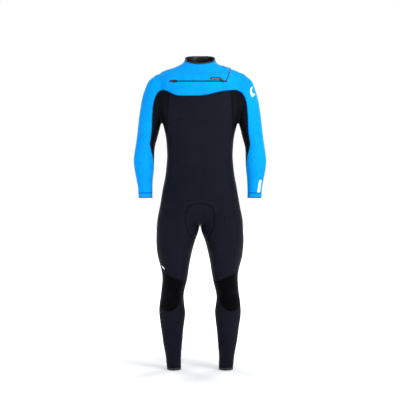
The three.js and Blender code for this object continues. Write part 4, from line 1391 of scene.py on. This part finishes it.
def tooth_row(name, way):
    """One tooth, its neck on the tape and its head in the gap, repeated along the row."""
    foot, neck, tip = 0.0031, 0.0019, 0.0007
    root_half, head_half = 0.0007, 0.0010
    start = along_zip(teeth_from) + root_half
    near, far = sorted((zip_z + way * foot, zip_z + way * neck))
    root = block("tooth_root", (start - root_half, start + root_half), (tooth_low, tooth_high),
                 (near, far), 0.00018, 1)
    near, far = sorted((zip_z + way * neck, zip_z + way * tip))
    head = block("tooth_head", (start - head_half, start + head_half),
                 (tooth_low + 0.0002, tooth_high - 0.0002), (near, far), 0.0003, 2)
    row = joined(name, [root, head], moulded)
    if way < 0:
        row.location.x += tooth_step / 2
        bpy.ops.object.transform_apply(location=True, rotation=False, scale=False)
    count = int((along_zip(teeth_to) - along_zip(teeth_from)) / tooth_step)
    apply_modifier(row, "ARRAY", count=count, use_relative_offset=False, use_constant_offset=True,
                   constant_offset_displace=(tooth_step, 0, 0))
    bend_round_chest(row)
    return row


for name, way in (("zip_teeth_upper", 1), ("zip_teeth_lower", -1)):
    row = tooth_row(f"{name}_row", way)
    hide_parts(name)
    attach(row, "suit")

# ---------------------------------------------------------------- zip slider
# Two plates hold the rows together, joined by the post that parts the teeth. Two lugs on the front
# plate carry the pin that the pull tab swings on.

plate_low, plate_high, plate_half = 0.0022, 0.0044, 0.005
slider_from, slider_to = along_zip(0.103), along_zip(0.121)
pin_stand = 0.0069
pin_run = zip_radius * math.asin(0.11402 / (zip_radius + pin_stand))
lug_inside, lug_outside = 0.0031, 0.0048


def narrowed(piece):
    """Narrows the slider towards the end it closes."""
    points = points_of(piece.data)
    share = np.interp(points[:, 0], [slider_from, slider_to], [0.74, 1.0])
    points[:, 2] = zip_z + (points[:, 2] - zip_z) * share
    piece.data.vertices.foreach_set("co", points.ravel())
    return piece


z_span = (zip_z - plate_half, zip_z + plate_half)
slider_parts = [
    narrowed(block("front_plate", (slider_from, slider_to), (plate_low, plate_high), z_span, 0.0007, 3)),
    narrowed(block("back_plate", (slider_from, slider_to), (-plate_high, -plate_low), z_span, 0.0007, 3)),
    block("post", (along_zip(0.1165), slider_to - 0.0004), (-plate_low - 0.0006, plate_low + 0.0006),
          (zip_z - 0.0005, zip_z + 0.0005), 0.0002, 2),
]
for way in (1, -1):
    z_span = sorted((zip_z + way * lug_inside, zip_z + way * lug_outside))
    slider_parts.append(block("lug", (along_zip(0.110), along_zip(0.1168)), (plate_high - 0.0008, 0.0084),
                              z_span, 0.0007, 3))
clear_selection()
bpy.ops.mesh.primitive_cylinder_add(vertices=20, radius=0.0009, depth=2 * lug_outside - 0.0008,
                                    location=(pin_run, -pin_stand, zip_z))
pin = bpy.context.object
bpy.ops.object.transform_apply(location=True, rotation=False, scale=False)
slider_piece = joined("zip_slider_body", [*slider_parts, pin], moulded)
bend_round_chest(slider_piece)
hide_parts("zip_slider")
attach(slider_piece, "slider")

# ---------------------------------------------------------------- pull tab
# A soft moulded strip on an eye round the slider's pin. It cranks up above the zip and then lies
# flat along it, rounded at the end, with a panel of short raised bars for grip.

tab_length, tab_half_width, tab_half_thick = 0.064, 0.0056, 0.0010
tab_rise = 0.013
grip_bars = 9
grip_from, grip_step = 0.024, 0.0040


def tab_shaped(piece):
    """Cranks, rounds and tilts the strip: distances from the pin set its middle, width and stand-off."""
    points = points_of(piece.data)
    back = pin_run - points[:, 0]
    crank = tab_rise * ramp(back, 0.003, 0.017)
    slim = 0.42 + 0.58 * ramp(back, 0.004, 0.014)
    round_end = np.clip((back - (tab_length - tab_half_width)) / tab_half_width, 0, 1)
    slim *= np.sqrt(np.clip(1 - round_end ** 2, 0.06, 1))
    points[:, 2] = zip_z + crank + (points[:, 2] - zip_z) * slim
    points[:, 1] += 0.0024 * ramp(back, 0.010, tab_length)
    piece.data.vertices.foreach_set("co", points.ravel())
    return piece


strip = block("tab_strip", (pin_run - tab_length, pin_run - 0.0016),
              (pin_stand - tab_half_thick, pin_stand + tab_half_thick),
              (zip_z - tab_half_width, zip_z + tab_half_width), 0.0004, 2)
make_active(strip)
bpy.ops.object.mode_set(mode="EDIT")
for cut in np.linspace(pin_run - tab_length + 0.0004, pin_run - 0.002, 40)[1:-1]:
    bpy.ops.mesh.select_all(action="SELECT")
    bpy.ops.mesh.bisect(plane_co=(cut, 0, 0), plane_no=(1, 0, 0))
bpy.ops.object.mode_set(mode="OBJECT")
clear_selection()
bpy.ops.mesh.primitive_torus_add(major_radius=0.0018, minor_radius=0.0007, major_segments=24,
                                 minor_segments=10, location=(pin_run, -pin_stand, zip_z))
eye = bpy.context.object
bpy.ops.object.transform_apply(location=True, rotation=False, scale=False)
tab_piece = joined("pull_tab_strip", [tab_shaped(strip), eye], moulded)
bend_round_chest(tab_piece)
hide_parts("pull_tab")
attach(tab_piece, "tab")

grip_rubber = smooth_rubber("grip_rubber", (0.12, 0.22, 0.32), 0.5, 0.00004)
bars = []
for i in range(grip_bars):
    back = grip_from + i * grip_step
    bars.append(tab_shaped(block(
        "grip_bar", (pin_run - back - 0.0013, pin_run - back + 0.0013),
        (pin_stand + tab_half_thick - 0.0003, pin_stand + tab_half_thick + 0.0004),
        (zip_z - 0.0028, zip_z + 0.0028), 0.0003, 2)))
bars = joined("pull_tab_grip_bars", bars, grip_rubber)
bend_round_chest(bars)
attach(bars, "tab")

# ---------------------------------------------------------------- zip guard and stop
# A domed lens of rubber covers the open end of the zip. A small block crimped over both tapes stops
# the slider at the other end.

guard_half_length, guard_half_height, guard_dome = 0.022, 0.007, 0.0020
clear_selection()
bpy.ops.mesh.primitive_uv_sphere_add(segments=40, ring_count=20, radius=1)
guard = bpy.context.object
guard.scale = (guard_half_length, guard_dome, guard_half_height)
guard.location = (along_zip(-0.126), -0.0018, zip_z)
bpy.ops.object.transform_apply(location=True, rotation=False, scale=True)
bpy.ops.object.mode_set(mode="EDIT")
bpy.ops.mesh.select_all(action="SELECT")
bpy.ops.mesh.bisect(plane_co=(0, -0.0014, 0), plane_no=(0, 1, 0), clear_outer=True, use_fill=True)
bpy.ops.object.mode_set(mode="OBJECT")
guard = joined("zip_end_guard", [guard], moulded)
bend_round_chest(guard)
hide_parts("zip_guard")
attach(guard, "suit")

stop = joined("zip_end_stop", [block(
    "stop", (along_zip(0.1235), along_zip(0.129)), (-0.0014, 0.0024), (zip_z - 0.0031, zip_z + 0.0031),
    0.0007, 3)], moulded)
bend_round_chest(stop)
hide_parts("zip_stop")
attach(stop, "suit")

# ---------------------------------------------------------------- zip tapes
# The tapes are carried over as they are, and given a fine diagonal weave.


def make_tape():
    material, tree, shader = start_material("woven_tape", 0.75, specular=0.2)
    place = add_node(tree, "TexCoord").outputs["Object"]
    split = add_node(tree, "SeparateXYZ")
    tree.links.new(place, split.inputs[0])
    thread = 2 * math.pi / 0.0009
    slant = math_node(tree, "ADD", math_node(tree, "MULTIPLY", split.outputs[0], thread),
                      math_node(tree, "MULTIPLY", split.outputs[2], thread))
    weave = math_node(tree, "SINE", slant)
    worn_and_seam_shaded = use_group(tree, wear_and_seam_shade, Place=place, Seam_distance=0.05)
    # Painted shade: the weave's low lines are coloured darker than its crests, following the same weave as
    # the bump.
    dark = mix_colour(tree, remap(tree, weave, -1, 1), (0.004, 0.004, 0.006, 1), (0.012, 0.012, 0.016, 1))
    dusty = mix_colour(tree, math_node(tree, "MULTIPLY", worn_and_seam_shaded["Lint"], 0.3), dark, (0.06, 0.06, 0.07, 1))
    tree.links.new(dusty, shader.inputs["Base Color"])
    bump(tree, shader, weave, 0.00008, 0.7)
    return material


woven_tape = make_tape()
for node_name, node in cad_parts.items():
    if not node.hide_render:
        node.data.materials.clear()
        node.data.materials.append(woven_tape)

# ---------------------------------------------------------------- seam stitches
# Short threads cross every glued seam, evenly spaced and a little slanted. One is modelled and
# copied along the seams, in black thread between dark panels and blue within the blue ones.

thread_radius, thread_reach = 0.00024, 0.0021
thread_gap = 0.0034
thread_slant = 0.35
thread_sag = 0.0005
clear_selection()
bpy.ops.mesh.primitive_cylinder_add(vertices=5, radius=thread_radius, depth=2 * thread_reach,
                                    rotation=(0, math.pi / 2, 0))
thread = bpy.context.object
bpy.ops.object.transform_apply(location=False, rotation=True, scale=False)
bpy.ops.object.mode_set(mode="EDIT")
for cut in (-0.4, 0.4):
    bpy.ops.mesh.select_all(action="SELECT")
    bpy.ops.mesh.bisect(plane_co=(cut * thread_reach, 0, 0), plane_no=(1, 0, 0))
bpy.ops.object.mode_set(mode="OBJECT")
thread_points = points_of(thread.data)
thread_points[:, 1] += thread_slant * thread_points[:, 0]
thread_points[:, 2] -= thread_sag * (thread_points[:, 0] / thread_reach) ** 2
thread_faces = triangles_of(thread.data)
bpy.data.objects.remove(thread)

blue_runs = ("collar", "entry_flap_face", "left_sleeve", "right_sleeve", "left_cuff", "right_cuff")
black_thread = smooth_rubber("black_thread", (0.0025, 0.0026, 0.004), 0.7, 0.00002, 0.08)
blue_thread = smooth_rubber("blue_thread", (0.001, 0.32, 0.88), 0.7, 0.00002, 0.08)
threads = {}
for run in seam_runs:
    colour = "blue" if run[0] in blue_runs else "black"
    for path, facing in chained(run):
        place, along, out = evenly(path, facing, thread_gap, 0.003)
        across = np.cross(along, out)
        on_arm_side = (np.abs(place[:, 0]) > 0.222) & (place[:, 2] > 0.75)
        on_arm_side |= (np.abs(place[:, 0]) > 0.203) & (place[:, 2] > 1.0) & (place[:, 2] < 1.2)
        by_zip = (np.abs(place[:, 2] - zip_z) < 0.006) & (place[:, 1] < 0)
        for limb, chosen in (
            ("arm", on_arm_side),
            ("leg", place[:, 2] < 0.6),
            ("suit", ~on_arm_side & (place[:, 2] >= 0.6)),
        ):
            for name, side in sides.items():
                here = chosen & ~by_zip & ((side * place[:, 0] > 0) | (limb == "suit"))
                if limb == "suit" and name == "right":
                    continue
                key = (colour, limb, name)
                axes = np.stack([across[here], along[here], out[here]], axis=1)
                moved = place[here][:, None] + np.einsum("vi,nij->nvj", thread_points, axes)
                threads.setdefault(key, []).append(moved)

for (colour, limb, name), batches in threads.items():
    placed = np.concatenate(batches)
    if not len(placed):
        continue
    offset = np.arange(len(placed))[:, None, None] * len(thread_points)
    faces = (thread_faces[None] + offset).reshape(-1, 3)
    title = f"{colour}_stitches_{limb}" + ("" if limb == "suit" else f"_{name}")
    mesh = bpy.data.meshes.new(title)
    mesh.from_pydata(placed.reshape(-1, 3).tolist(), [], faces.tolist())
    mesh.materials.append(blue_thread if colour == "blue" else black_thread)
    piece = bpy.data.objects.new(title, mesh)
    bpy.context.scene.collection.objects.link(piece)
    if limb == "arm":
        elbow_blend(piece, name)
    elif limb == "leg":
        knee_blend(piece, name)
    else:
        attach(piece, "suit")

bpy.data.objects.remove(form)
